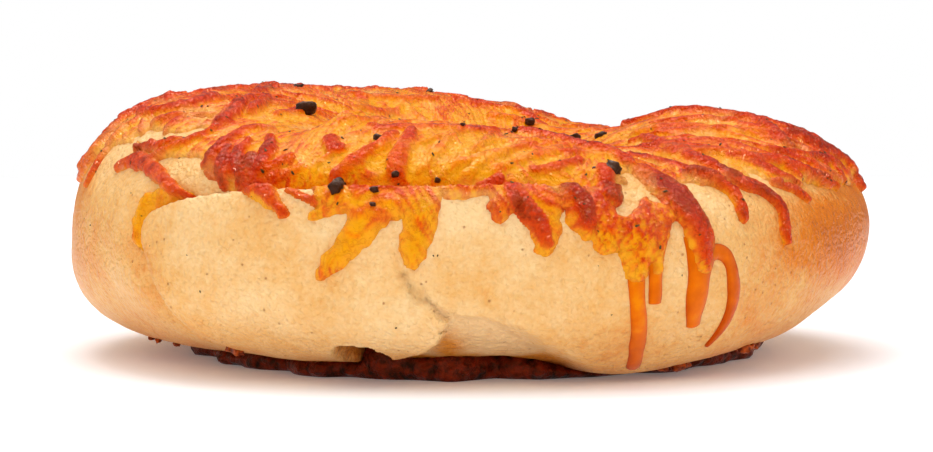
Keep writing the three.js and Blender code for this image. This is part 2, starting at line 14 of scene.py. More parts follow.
import bmesh
import bpy
import numpy as np
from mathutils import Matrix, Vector


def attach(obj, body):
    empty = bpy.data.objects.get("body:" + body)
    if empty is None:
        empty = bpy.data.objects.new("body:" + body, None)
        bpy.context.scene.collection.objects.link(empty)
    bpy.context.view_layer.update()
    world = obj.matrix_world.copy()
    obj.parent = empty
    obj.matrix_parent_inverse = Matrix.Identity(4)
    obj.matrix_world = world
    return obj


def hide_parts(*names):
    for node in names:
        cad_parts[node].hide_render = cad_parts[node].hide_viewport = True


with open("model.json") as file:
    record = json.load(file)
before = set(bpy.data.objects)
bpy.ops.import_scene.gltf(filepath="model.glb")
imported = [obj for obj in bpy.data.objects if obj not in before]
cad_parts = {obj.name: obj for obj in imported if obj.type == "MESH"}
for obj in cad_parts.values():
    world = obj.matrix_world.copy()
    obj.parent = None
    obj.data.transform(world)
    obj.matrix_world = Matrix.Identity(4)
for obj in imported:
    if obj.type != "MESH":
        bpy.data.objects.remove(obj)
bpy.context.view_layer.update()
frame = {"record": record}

log = logging.getLogger("bagel")

MM = 0.001
BODY = "root"
TINY = 1e-12  # keeps a division by a length of 0 from failing
Array = np.ndarray
Colour = tuple[float, float, float]
Span = tuple[float, float]  # from and to, or the least and the most
Pairs = tuple[tuple[float, float], ...]  # each a turn with its lap or value, or a size with its strength


class Slot(Enum):
    """The finishes that the frame names."""

    CRUST = "bread_crust"
    MELTED = "melted_cheese"
    BURNT = "burnt_cheese"


# -------- small helpers

def wrap(angle: Array) -> Array:
    """Bring angles in degrees to between -180 and 180."""
    return (np.asarray(angle, float) + 180.0) % 360.0 - 180.0


def bell(distance: Array, width: Array) -> Array:
    """A smooth hump, 1 in the middle and about a third at its width."""
    return np.exp(-((distance / width) ** 2))


def soft_step(share: Array) -> Array:
    """Ease from 0 to 1 as share goes from 0 to 1."""
    share = np.clip(share, 0.0, 1.0)
    return share * share * (3.0 - 2.0 * share)


def inside_edge(depth: Array, wall: Union[float, Array]) -> Array:
    """1 inside an edge and 0 outside it, eased over a wall of the given width."""
    return soft_step(depth / wall + 0.5)


def blend(low: Array, high: Array, share: Array) -> Array:
    """Go from low to high as share goes from 0 to 1."""
    return low + (high - low) * share


def unit(vectors: Array) -> Array:
    """Scale vectors to length 1."""
    return vectors / (np.linalg.norm(vectors, axis=-1, keepdims=True) + TINY)


def catmull_rom(points: Array, count: int) -> Array:
    """Sample a smooth curve through points.

    Args:
        points: The points that the curve passes, one per row.
        count: How many samples to take, ends included.

    Returns:
        The samples, one per row.
    """
    padded = np.concatenate([points[:1], points, points[-1:]])
    place = np.linspace(0.0, len(points) - 1.0, count)
    index = np.minimum(place.astype(int), len(points) - 2)
    return catmull_blend(*(padded[index + k] for k in range(4)), (place - index)[:, None])


def catmull_blend(before: Array, here: Array, after: Array, last: Array, share: Array) -> Array:
    """Blend four neighbouring values along a smooth curve through the middle two.

    Args:
        before: The first values.
        here: The second ones, read where share is 0.
        after: The third ones, read where share is 1.
        last: The fourth ones.
        share: How far from the second to the third, from 0 to 1.

    Returns:
        The blended values.
    """
    slope = after - before
    bend = 2 * before - 5 * here + 4 * after - last
    twist = 3 * here - before - 3 * after + last
    return 0.5 * (2 * here + (slope + (bend + twist * share) * share) * share)


def round_the_ring(table: Pairs, turn: Array) -> Array:
    """Read a value that is given at a few turns, eased from one to the next.

    Args:
        table: Pairs of turn and value, with turn increasing from 0.
        turn: Where to read it, in degrees.

    Returns:
        The value at each turn.
    """
    angles = np.array([at for at, _ in table] + [360.0])
    values = np.array([value for _, value in table] + [table[0][1]])
    turn = np.asarray(turn, float) % 360.0
    after = np.searchsorted(angles, turn, side="right").clip(1, len(angles) - 1)
    share = (turn - angles[after - 1]) / (angles[after] - angles[after - 1])
    return blend(values[after - 1], values[after], soft_step(share))


def to_segment(places: Array, start: Array, end: Array) -> tuple[Array, Array]:
    """Find how far places are from a straight line between two points.

    Args:
        places: The places, with their coordinates last.
        start: The first point.
        end: The second point.

    Returns:
        The distances, and the share of the line at the nearest point of each, from 0 to 1.
    """
    run = end - start
    share = np.clip((places - start) @ run / (run @ run + TINY), 0, 1)
    return np.linalg.norm(places - start - share[..., None] * run, axis=-1), share


def line_distance(places: Array, line: Array) -> tuple[Array, Array]:
    """Distance to a line of points, positive at its right, and the share of the line there.

    Args:
        places: Places on a plane, with their two coordinates last.
        line: Points of the line, one per row.

    Returns:
        The distances, and the shares from 0 to 1.
    """
    nearest = np.full(places.shape[:-1], np.inf)
    side, share = np.zeros(nearest.shape), np.zeros(nearest.shape)
    for i, (start, end) in enumerate(zip(line[:-1], line[1:])):
        gap, along = to_segment(places, start, end)
        closer = gap < nearest
        nearest = np.where(closer, gap, nearest)
        run = end - start
        at_left = (places - start) @ np.array([-run[1], run[0]]) > 0
        side = np.where(closer, np.where(at_left, -1.0, 1.0), side)
        share = np.where(closer, (i + along) / (len(line) - 1), share)
    return nearest * side, share


def outline_distance(places: Array, corners: Array) -> Array:
    """Distance to a closed outline, positive inside it.

    Args:
        places: Places on a plane, with their two coordinates last.
        corners: Corners of the outline, one per row.

    Returns:
        The distances.
    """
    x, y = places[..., 0], places[..., 1]
    nearest = np.full(x.shape, np.inf)
    inside = np.zeros(x.shape, bool)
    for start, end in zip(corners, np.roll(corners, -1, 0)):
        nearest = np.minimum(nearest, to_segment(places, start, end)[0])
        run = end - start
        crosses = (start[1] > y) != (end[1] > y)
        inside ^= crosses & (x < start[0] + run[0] * (y - start[1]) / (run[1] or TINY))
    return np.where(inside, nearest, -nearest)


class Grain:
    """Smooth noise in space that is the same on each run."""

    cells = 256  # in its lattice each way, before it repeats
    gain = 1.6  # brings the noise to about -1 to 1
    apart = 31.7  # how far apart the layers of one stack are read, in mm

    def __init__(self, seed: int) -> None:
        """Shuffle the lattice that the noise is read from."""
        random = np.random.default_rng(seed)
        self.order = np.tile(random.permutation(self.cells), 2)
        self.slopes = unit(random.normal(size=(self.cells, 3)))

    def __call__(self, points: Array, size: float) -> Array:
        """Noise of about -1 to 1.

        Args:
            points: Places in mm, with the three coordinates last.
            size: Distance in mm over which the noise changes.

        Returns:
            One value for each place.
        """
        place = points / size
        cell = np.floor(place).astype(np.int64)
        offset = place - cell
        ease = offset**3 * (offset * (offset * 6.0 - 15.0) + 10.0)
        total = np.zeros(points.shape[:-1])
        for corner in np.ndindex(2, 2, 2):
            at = (cell + corner) % self.cells
            slot = self.order[self.order[self.order[at[..., 0]] + at[..., 1]] + at[..., 2]]
            weight = np.prod(np.where(corner, ease, 1.0 - ease), axis=-1)
            total += weight * np.einsum("...i,...i", self.slopes[slot], offset - corner)
        return total * self.gain

    def layers(self, points: Array, size: float, count: int, gain: float) -> Array:
        """Sum count noises, each half the size of the one before and gain times its strength."""
        return sum(gain**i * self(points + self.apart * i, size / 2**i) for i in range(count))

    def mixed(self, points: Array, parts: Pairs) -> Array:
        """Sum noises, each given as its size in mm and its strength."""
        return sum(strength * self(points, size) for size, strength in parts)


# -------- the crust's surface

MM_PER_TURN = 0.95  # degrees of turn and lap as lengths on the front crust
MM_PER_LAP = 0.4
TORN_WALL = 0.8  # width of the step at a torn edge, in mm


def flat(turn: Array, lap: Array) -> Array:
    """Turns and laps as places in mm on the front crust, laid out flat."""
    return np.stack([turn * MM_PER_TURN, lap * MM_PER_LAP], -1)


@dataclass(frozen=True)
class Section:
    """The ring's section at one compass point, in mm."""

    reach: float  # outer radius
    waist: float  # its height
    crest: float  # radius of the highest point
    top: float  # its height
    hole: float  # radius of the hole
    throat: float  # its height
    under: float  # radius of the lowest point
    base: float  # its height
    tuck: float  # squareness of the lower outer quarter, 2 being an ellipse
    shoulder: float  # squareness of the upper outer quarter


@dataclass(frozen=True)
class Spot:
    """A place that differs from the rest: its centre, by how much, and its half-widths in degrees."""

    turn: float
    lap: float
    strength: float
    wide: float
    tall: float


def at_spots(spots: Sequence[Spot], turn: Array, lap: Array) -> Array:
    """Sum what the spots add at turns and laps."""
    return sum(
        spot.strength * bell(wrap(turn - spot.turn), spot.wide) * bell(wrap(lap - spot.lap), spot.tall)
        for spot in spots)


@dataclass(frozen=True)
class Wave:
    """A wave round the ring and its section that keeps the crust uneven."""

    turns: int
    laps: int
    phase: float
    rise: float  # in mm


@dataclass
class Crust:
    """The outer surface of the bread, to be read at any turn and lap."""

    sections: tuple[Section, ...] = (
        Section(57.7, 19.0, 33.5, 32.5, 11.0, 17, 33.0, 1.9, 2.0, 2.0),
        Section(56.0, 17.0, 34.5, 30.8, 10.0, 17, 33.5, 2.0, 2.1, 2.1),
        Section(55.0, 17.0, 34.0, 33.3, 10.0, 17, 33.5, 2.0, 2.2, 2.45),
        Section(56.5, 17.0, 33.0, 35.3, 11.0, 18, 34.0, 1.8, 2.2, 2.45),
        Section(57.8, 16.5, 33.0, 35.7, 11.5, 18, 34.0, 1.4, 2.3, 2.4),
        Section(57.4, 15.0, 34.0, 34.6, 11.0, 18, 34.0, 2.0, 2.3, 2.3),
        Section(55.0, 14.5, 32.0, 32.7, 10.5, 17, 33.5, 2.2, 2.8, 2.45),
        Section(56.0, 15.5, 34.0, 29.8, 11.0, 16, 34.5, 1.9, 2.5, 2.3),
    )
    hole_side: float = 2.1  # squareness of the hole's side
    swells: tuple[Spot, ...] = (
        Spot(190, 62, 0.5, 26, 26),
        Spot(150, 88, 1.3, 28, 34),
        Spot(12, 84, 1.3, 22, 34),
        Spot(60, 92, -2.1, 16, 40),
        Spot(102, 92, 1.0, 12, 36),
        Spot(262, 92, 1.0, 20, 36),
        Spot(286, 88, 1.0, 9, 26),
        Spot(242, 88, 2.0, 4, 24),
        Spot(232, 100, -1.2, 12, 40),
        Spot(298, 15, 1.2, 20, 40),
        Spot(238, 0, 1.0, 20, 36),
        Spot(336, 10, -0.7, 18, 40),
        Spot(85, 10, 0.8, 30, 40),
        Spot(120, -5, -0.8, 18, 40),
        Spot(208, -22, -1.0, 9, 26),
        Spot(299, -62, 1.5, 16, 22),
        Spot(276, -70, -0.8, 10, 20),
    )
    waves: tuple[Wave, ...] = (
        Wave(3, 2, 0.7, 0.175),
        Wave(5, -3, 2.1, 0.14),
        Wave(8, 4, 4.0, 0.105),
        Wave(11, -5, 1.0, 0.0875),
        Wave(17, 3, 5.2, 0.07),
    )
    # The front roll of dough laps over the rest: its edge as turn and lap, from the foot at the
    # left, up the side and along the front.
    roll_edge: Pairs = (
        (229, -62), (226.5, -36), (223.5, -13), (220.5, 2), (219, 9), (219.3, 17), (222.5, 23),
        (230, 29), (242, 33.5), (256, 36.8), (272, 39.5), (288, 41.5), (304, 43),
    )
    roll_samples: int = 61  # points read along that edge
    roll_ends: Span = (0.12, 0.2)  # shares of its edge over which the roll starts and ends
    roll_rise: float = 1.1  # how far it stands out beside its edge, in mm
    roll_fade: float = 7.0  # distance into the roll over which that fades
    roll_wall: float = 0.9  # width of the step along the front
    side_wall: float = 1.7  # width of the step up the side
    side_end: float = 0.3  # share of the edge at which the side ends
    side_ease: float = 0.25  # share over which it turns into the front
    side_strength: float = 0.8  # of the step up the side, against the front's
    groove_depth: float = 2.4  # of the groove beside the roll, in mm
    groove_fade: float = 3.2  # distance from the roll over which the groove fades
    # the torn place under the roll: sharp at its left edge, rounded at its right one
    recess: Pairs = (
        (263.6, -3), (264.8, -5), (268.6, -11.5), (272, -13), (276, -19), (280, -31), (284, -46),
        (289, -60), (293, -86), (253, -86), (257, -62), (261.5, -50), (264.5, -38), (266, -26),
        (266.6, -15), (265, -9),
    )
    recess_walls: Span = (0.6, 3.6)  # widths in mm of its left and its right edge
    recess_middle: float = 270.0  # turn from which the one goes over into the other
    recess_turns: float = 9.0
    recess_depths: Span = (1.0, 5.4)  # in mm, at its top and at its foot
    recess_top: float = -4.0
    recess_laps: float = 42.0
    notch: Pairs = (
        (249.8, -40), (252.2, -37.5), (254.4, -38.5), (255.8, -45), (256.8, -52), (257.5, -90),
        (248, -90), (247.4, -62), (248.4, -48),
    )
    tear: Pairs = (
        (260, 4), (261.2, 4.2), (261.8, 1.2), (263.4, -1.5), (264, -5), (263, -5.5), (262, -2.5),
        (260.8, 0.5),
    )
    notch_depth: float = 2.2
    tear_depth: float = 1.1
    ragged: float = 0.45  # unevenness of the torn edges, in mm
    ragged_size: float = 2.6
    ragged_gain: float = 0.7
    unevenness: Pairs = ((11.0, 0.14), (4.3, 0.07), (1.6, 0.03))  # of the baked dough, in mm
    grain: Grain = field(default_factory=lambda: Grain(5))

    def section_at(self, turn: Array) -> dict[str, Array]:
        """Blend the sections of the compass points.

        Args:
            turn: Where to read them.

        Returns:
            The measures of the section at each turn, by name.
        """
        names = list(Section.__dataclass_fields__)
        table = np.array([[getattr(section, name) for name in names] for section in self.sections])
        place = (np.asarray(turn, float) % 360.0) / (360.0 / len(table))
        index = np.floor(place).astype(int)
        near = [table[(index + k) % len(table)] for k in (-1, 0, 1, 2)]
        values = catmull_blend(*near, (place - index)[..., None])
        return {name: values[..., i] for i, name in enumerate(names)}

    def ring_point(self, turn: Array, lap: Array) -> Array:
        """Find points of the plain ring, before its relief.

        Args:
            turn: Their turns.
            lap: Their laps.

        Returns:
            The points in mm, with their coordinates last.
        """
        turn, lap = np.broadcast_arrays(np.asarray(turn, float), np.asarray(lap, float))
        part = self.section_at(turn)
        across, up = np.cos(np.radians(lap)), np.sin(np.radians(lap))
        upper, outer = up >= 0, across >= 0
        middle = np.where(upper, part["crest"], part["under"])
        square = np.where(upper, part["shoulder"], part["tuck"])
        power = 2.0 / np.where(outer, square, self.hole_side)
        width = np.where(outer, part["reach"], part["hole"]) - middle
        side = np.where(outer, part["waist"], part["throat"])
        height = np.where(upper, part["top"], part["base"]) - side
        radius = middle + width * np.abs(across) ** power
        angle = np.radians(turn)
        return np.stack(
            [radius * np.cos(angle), radius * np.sin(angle), side + height * np.abs(up) ** power], -1)

    def slopes(self, turn: Array, lap: Array, step: float = 0.4) -> tuple[Array, Array]:
        """How the plain ring's point moves with turn and with lap, in mm a degree."""
        around = self.ring_point(turn + step, lap) - self.ring_point(turn - step, lap)
        upward = self.ring_point(turn, lap + step) - self.ring_point(turn, lap - step)
        return around / (2 * step), upward / (2 * step)

    def normal(self, turn: Array, lap: Array) -> Array:
        """Outward directions of the plain ring."""
        around, upward = self.slopes(turn, lap)
        return unit(np.cross(around, upward))

    def roll(self, turn: Array, lap: Array) -> Array:
        """Shape the roll of dough and the groove beside it.

        Args:
            turn: Turns from 0 to 360.
            lap: Laps from -180 to 180.

        Returns:
            What they add to the crust's height, in mm.
        """
        line = catmull_rom(flat(*np.array(self.roll_edge).T), self.roll_samples)
        distance, share = line_distance(flat(turn, lap), line)
        side = 1.0 - soft_step((share - self.side_end) / self.side_ease)
        start, end = self.roll_ends
        strength = soft_step(share / start) * soft_step((1 - share) / end)
        strength *= blend(1.0, self.side_strength, side)
        on_roll = inside_edge(distance, blend(self.roll_wall, self.side_wall, side))
        rise = on_roll * self.roll_rise * bell(np.maximum(distance, 0), self.roll_fade)
        drop = (1 - on_roll) * self.groove_depth * bell(np.minimum(distance, 0), self.groove_fade)
        return strength * (rise - drop)

    def relief(self, turn: Array, lap: Array) -> Array:
        """Sum what stands out of the plain ring or is sunk into it.

        Args:
            turn: Turns of the places.
            lap: Laps of the places.

        Returns:
            Heights over the plain ring, in mm.
        """
        turn, lap = np.broadcast_arrays(np.asarray(turn, float) % 360.0, wrap(lap))
        height = at_spots(self.swells, turn, lap) + self.roll(turn, lap)
        for wave in self.waves:
            height += wave.rise * np.sin(
                wave.turns * np.radians(turn) + wave.laps * np.radians(lap) + wave.phase)
        height -= self.notch_depth * self.within(turn, lap, self.notch)
        height -= self.tear_depth * self.within(turn, lap, self.tear)
        return height

    def within(self, turn: Array, lap: Array, outline: Pairs, wall: Union[float, Array] = TORN_WALL
               ) -> Array:
        """Find which places a ragged outline holds.

        Args:
            turn: Turns from 0 to 360.
            lap: Laps from -180 to 180.
            outline: Turn and lap of each corner.
            wall: Width in mm over which its edge is eased.

        Returns:
            1 inside the outline and 0 outside.
        """
        places = flat(turn, lap)
        rough = self.grain.layers(
            np.insert(places, 2, 0.0, axis=-1), self.ragged_size, count=3, gain=self.ragged_gain)
        depth = outline_distance(places, flat(*np.array(outline).T)) + self.ragged * rough
        return inside_edge(depth, wall)

    def in_recess(self, turn: Array, lap: Array) -> Array:
        """1 in the torn place under the roll, 0 outside."""
        share = soft_step((turn - self.recess_middle) / self.recess_turns)
        return self.within(turn, lap, self.recess, blend(*self.recess_walls, share))

    def set_back(self, turn: Array, lap: Array) -> Array:
        """How far the torn place under the roll is set back towards the hole, in mm."""
        turn, lap = np.broadcast_arrays(np.asarray(turn, float) % 360.0, wrap(lap))
        share = soft_step((self.recess_top - lap) / self.recess_laps)
        return blend(*self.recess_depths, share) * self.in_recess(turn, lap)

    def point(self, turn: Array, lap: Array, lift: Union[float, Array] = 0.0) -> Array:
        """Find points over the crust, or under it where lift is negative.

        Args:
            turn: Their turns.
            lap: Their laps.
            lift: Their heights over the crust, in mm.

        Returns:
            The points in mm, with their coordinates last.
        """
        plain = self.ring_point(turn, lap)
        height = self.relief(turn, lap) + self.grain.mixed(plain, self.unevenness) + lift
        angle = np.radians(np.broadcast_to(turn, height.shape))
        inwards = np.stack([-np.cos(angle), -np.sin(angle), np.zeros(angle.shape)], -1)
        back = np.broadcast_to(self.set_back(turn, lap), height.shape)
        return plain + self.normal(turn, lap) * height[..., None] + inwards * back[..., None]


# -------- cheese: where it lies and how thick

Route = Sequence[tuple[float, float, float]]  # turn, lap and half-width in mm at each point
OUTSIDE = -9.0  # depth in mm at a place that no strand reaches
NEARBY = 0.6  # how far past its edge a strand is read, in mm


@dataclass(frozen=True)
class Strand:
    """A shred or lobe of cheese that lies along a path on the crust, in mm."""

    path: Array
    widths: Array  # half-width at each point of the path
    thick: float
    brown: float

    @staticmethod
    def along(crust: Crust, route: Route, thick: float, brown: float, samples: int = 6) -> "Strand":
        """Lay a strand along a route.

        Args:
            crust: What it lies on.
            route: Turn, lap and half-width at each point.
            thick: Its height in mm.
            brown: How brown it is, from 0 to 1.
            samples: Points of its path for each leg of the route.

        Returns:
            The strand.
        """
        line = np.array(route, float)
        line[:, 0] = line[0, 0] + wrap(line[:, 0] - line[0, 0])
        line = catmull_rom(line, samples * (len(line) - 1) + 1)
        return Strand(crust.point(line[:, 0], line[:, 1]), line[:, 2], thick, brown)

    def near(self, points: Array) -> tuple[Array, Array, Array]:
        """Find which places the strand covers.

        Args:
            points: Places in mm, one per row.

        Returns:
            The rows of the places near it, how far inside it they are in mm, negative outside,
            and how far across from its middle, 1 being its edge.
        """
        reach = self.widths.max() + NEARBY
        low, high = self.path.min(0) - reach, self.path.max(0) + reach
        rows = np.flatnonzero(np.all((points > low) & (points < high), axis=1))
        inside = np.full(len(rows), OUTSIDE)
        across = np.ones(len(rows))
        for start, end, wide, wide_end in zip(self.path, self.path[1:], self.widths, self.widths[1:]):
            gap, along = to_segment(points[rows], start, end)
            width = blend(wide, wide_end, along)
            closer = width - gap > inside
            inside = np.where(closer, width - gap, inside)
            across = np.where(closer, gap / width, across)
        return rows, inside, across


@dataclass(frozen=True)
class Shreds:
    """Shreds strewn over one stretch of the ring. Pairs are the least and the most."""

    turns: Span
    laps: Span
    count: int
    heading: float  # direction seen from above, in degrees from +X
    spread: float
    brown: Span
    length: Span = (7.0, 18.0)
    width: Span = (0.7, 1.15)
    thick: Span = (0.35, 0.7)
    curl: float = 4.0  # most degrees that a shred turns in a mm


@dataclass(frozen=True)
class Reading:
    """The cheese at a set of places: lift over the crust in mm, and shares from 0 to 1."""

    lift: Array
    brown: Array
    thin: Array


@dataclass
class CheeseField:
    """Height and colour of the melted cheese over the crust."""

    crust: Crust
    film: float = 0.5  # thickness of the film and of what hangs over its edge, in mm
    lobe: float = 0.95
    film_round: float = 1.1  # distances in mm over which their edges are rounded
    lobe_round: float = 0.45
    hang_laps: float = 8.0  # over which the one goes over into the other
    hang_top: float = 60.0  # lap above which nothing hangs
    sunk: float = 0.55  # how deep its skin dives under the crust where there is no cheese
    edge_wall: float = 0.3  # distance over which it does
    deepest: float = 2.0  # distance from its edge at which the film counts as whole
    edge_waves: Pairs = ((4.2, 1.1), (1.9, 0.7))  # raggedness of its edge, in mm
    edge_nibbles: Pairs = ((1.2, 0.28),)  # and of all edges, the hanging parts' too
    tongue_depth: float = 0.9  # share of a hanging part's own depth that counts for the film
    blunt: float = 0.35  # how blunt a shred's ends are, 0 being pointed
    far_wander: tuple[float, float] = (2.9, 0.42)  # size and strength of the strands' unevenness
    near_wander: tuple[float, float] = (1.3, 0.16)
    pile: float = 0.25  # share of the lower of two strands that lifts the one on it
    strewn_past: float = 1.0  # how far past the film's edge strewn shreds lie, in mm
    strewn_fade: float = 1.2  # distance over which they do
    strewn_film: float = 0.4  # how deep in the film a place under them counts, in mm
    strewn_least: float = 0.1  # height from which it does
    strand_hides: float = 0.3  # how brown a strand is that hides the folds under it
    swelling: float = 0.25  # unevenness of the film's thickness, as a share of it
    fold_rise: float = 0.42  # height of the folds, in mm
    fold_start: float = 0.6  # distance from the edge over which they rise
    fold_mean: float = 0.48  # what the folds read on average
    fold_sets: tuple[tuple[float, float, float], ...] = (  # width, length and share of each
        (1.5, 10.0, 0.7), (0.8, 4.5, 0.3),
    )
    fold_bends: Pairs = ((8.0, 1.4), (5.0, 1.2))  # how they bend along and across the ring
    fold_sharpness: float = 3.0
    heat: float = 0.32  # how brown the film is on average
    heat_most: float = 0.85
    heat_patches: Pairs = ((6.5, 0.24), (2.2, 0.22))
    heat_folds: float = 0.7  # how much browner the folds' crests are
    strand_heat: float = 0.76  # share of a strand's own brown that shows
    blister: float = 0.2  # height of the blisters where it is brown, in mm
    blister_least: float = 0.03
    thin_from: float = 0.2  # distances from the edge over which the film looks thin, in mm
    thin_fade: float = 1.7
    thin_waves: Pairs = ((3.3, 0.5),)
    thick_hang: float = 0.85  # how much of that look a hanging part loses
    outer_edge: Pairs = (
        (0, 27), (20, 26), (40, 20), (60, 27), (80, 22), (100, 28), (120, 20), (140, 27), (160, 21),
        (176, 22), (184, 26), (192, 36), (200, 44), (208, 46), (216, 43), (222, 45), (229, 38), (234, 34),
        (242, 33), (252, 34), (260, 33), (264, 31), (268, 31.5), (273, 32), (278, 37), (290, 36), (300, 38),
        (306, 46), (314, 46), (324, 42), (334, 39), (344, 33), (352, 27),
    )
    inner_edge: Pairs = (
        (0, 150), (40, 140), (60, 130), (90, 126), (110, 128), (130, 138), (160, 150), (200, 160),
        (240, 152), (270, 158), (300, 150), (330, 158),
    )
    # where the film thins out and breaks open, in mm taken off its distance from its edge; the spots at
    # turn 336, lap 84 and turn 304, lap 66 are painted highlights, pale patches of thinned film
    gaps: tuple[Spot, ...] = (
        Spot(322.5, 46, 3.4, 3.4, 5), Spot(347, 55, 3.4, 4.5, 4.5), Spot(336, 84, 2.4, 5, 3),
        Spot(304, 66, 2.4, 4, 3), Spot(312, 84, 1.8, 8, 4), Spot(0, 84, 1.8, 8, 5),
        Spot(205, 53, 3.6, 7, 6), Spot(196, 36, 3.0, 6, 8), Spot(224, 39, 4.0, 3.5, 6),
        Spot(215.5, 63, 3.8, 3.5, 5), Spot(212, 57, 2.4, 4, 4), Spot(188, 48, 2.2, 5, 6),
        Spot(206, 74, 2.7, 7, 6), Spot(180, 68, 2.0, 6, 5), Spot(230, 96, 2.6, 5, 9),
        Spot(105, 62, 3.0, 7, 9), Spot(52, 48, 3.0, 6, 7), Spot(152, 42, 3.0, 6, 7),
        Spot(82, 84, 2.2, 6, 6), Spot(120, 95, 2.2, 6, 6), Spot(162, 76, 2.4, 6, 6),
        Spot(24, 64, 2.2, 6, 6),
    )
    # where bare crust shows through it
    breaks: tuple[Route, ...] = (
        ((297.4, 51, 1.7), (296.4, 44, 2.0), (294.6, 37, 1.5), (292.4, 29.5, 0.9)),
        ((323, 49, 1.1), (323.4, 43, 1.3)),
    )
    heats: tuple[Spot, ...] = (
        Spot(334, 76, -0.36, 26, 24), Spot(233, 47, 0.28, 6, 9), Spot(197, 72, -0.04, 16, 20),
        Spot(262, 64, -0.28, 20, 18), Spot(258, 34, 0.16, 14, 7), Spot(303, 34, 0.34, 8, 22),
        Spot(276, 28, 0.22, 5, 12), Spot(2, 50, 0.3, 14, 20), Spot(290, 36, 0.36, 10, 7),
        Spot(284, 20, 0.14, 6, 10), Spot(290, 25, 0.3, 7, 7), Spot(293, 8, -0.1, 6, 7),
        Spot(254, 14, -0.26, 8, 20), Spot(262, 16, -0.15, 4, 14), Spot(218, 18, -0.4, 5, 14),
        Spot(258, 35, 0.24, 8, 4), Spot(290, 84, 0.2, 10, 10), Spot(90, 74, 0.16, 50, 20),
        Spot(150, 92, 0.2, 26, 16), Spot(0, 130, -0.24, 180, 20), Spot(225, 96, -0.2, 16, 18),
        Spot(262, 40, 0.2, 24, 4),
    )
    # heading of the film's creases, in degrees from the direction round the ring
    flow: Pairs = (
        (0, -25), (60, 30), (120, -30), (180, 40), (205, 58), (235, 75), (255, 50), (285, 35), (310, -20),
        (335, -30),
    )
    shreds: tuple[Shreds, ...] = (
        Shreds((176, 226), (40, 104), 24, 62, 20, (0.4, 0.75), width=(0.45, 0.85), thick=(0.4, 0.7)),
        Shreds((234, 290), (46, 100), 30, 42, 26, (0.05, 0.45), width=(0.4, 0.8), thick=(0.25, 0.5)),
        Shreds((296, 372), (48, 112), 28, -8, 12, (0.6, 1.0), length=(9.0, 24.0), width=(0.5, 0.95),
               thick=(0.4, 0.8)),
        Shreds((28, 178), (30, 104), 95, 90, 90, (0.3, 0.85)),
        Shreds((0, 360), (106, 146), 30, 0, 180, (0.1, 0.5), thick=(0.2, 0.5)),
    )
    seed: int = 23
    grain: Grain = field(default_factory=lambda: Grain(41))
    strewn: list[Strand] = field(default_factory=list)
    laid: list[Strand] = field(default_factory=list)
    tongues: list[Strand] = field(default_factory=list)
    bare: list[Strand] = field(default_factory=list)

    # parts of the film that hang over its edge
    lobes: tuple[Route, ...] = (
        ((225, 30, 0.9), (221.5, 29.5, 1.3), (218.8, 25, 1.6), (217.2, 20, 1.7), (216.4, 14, 1.5),
         (216.8, 9, 1.1), (217.6, 5, 0.5)),
        ((232, 37, 1.3), (237, 34, 1.7), (240.4, 29, 1.6), (242.4, 26, 1.0), (243.4, 22.5, 0.75)),
        ((250, 34, 3.0), (257, 32, 3.6), (263, 33, 2.4)),
        ((256, 31, 1.6), (251.5, 27, 1.4), (248.0, 22.5, 0.8)),
        ((256, 34, 3.4), (255.6, 24, 3.0), (253.5, 13.5, 2.1), (251.5, 7.5, 1.7), (249.2, 2.2, 0.8)),
        ((263, 35, 2.9), (263, 24, 2.5), (262.4, 14, 2.2), (262.2, 8, 1.3)),
        ((275.6, 38, 2.7), (275, 31, 2.3), (274.4, 25.5, 1.4)),
        ((280, 37, 3.0), (280.6, 28, 2.8), (280.8, 20, 2.2), (280.5, 13, 1.5)),
        ((286, 36, 2.8), (286, 27, 2.5), (286.4, 20.5, 1.7)),
        ((290, 34, 3.4), (289.8, 24, 3.2), (289.2, 15, 2.1)),
        ((294.6, 28, 3.2), (294, 18, 3.2), (293.6, 9, 2.5), (293.4, 2, 1.4)),
        ((298.6, 27, 2.0), (297, 16, 1.6), (296.4, 4, 1.1)),
        ((300.6, 52, 2.4), (301.9, 38, 2.7), (303.2, 25, 2.5), (303.8, 14, 2.1), (303.6, 4, 1.5)),
    )
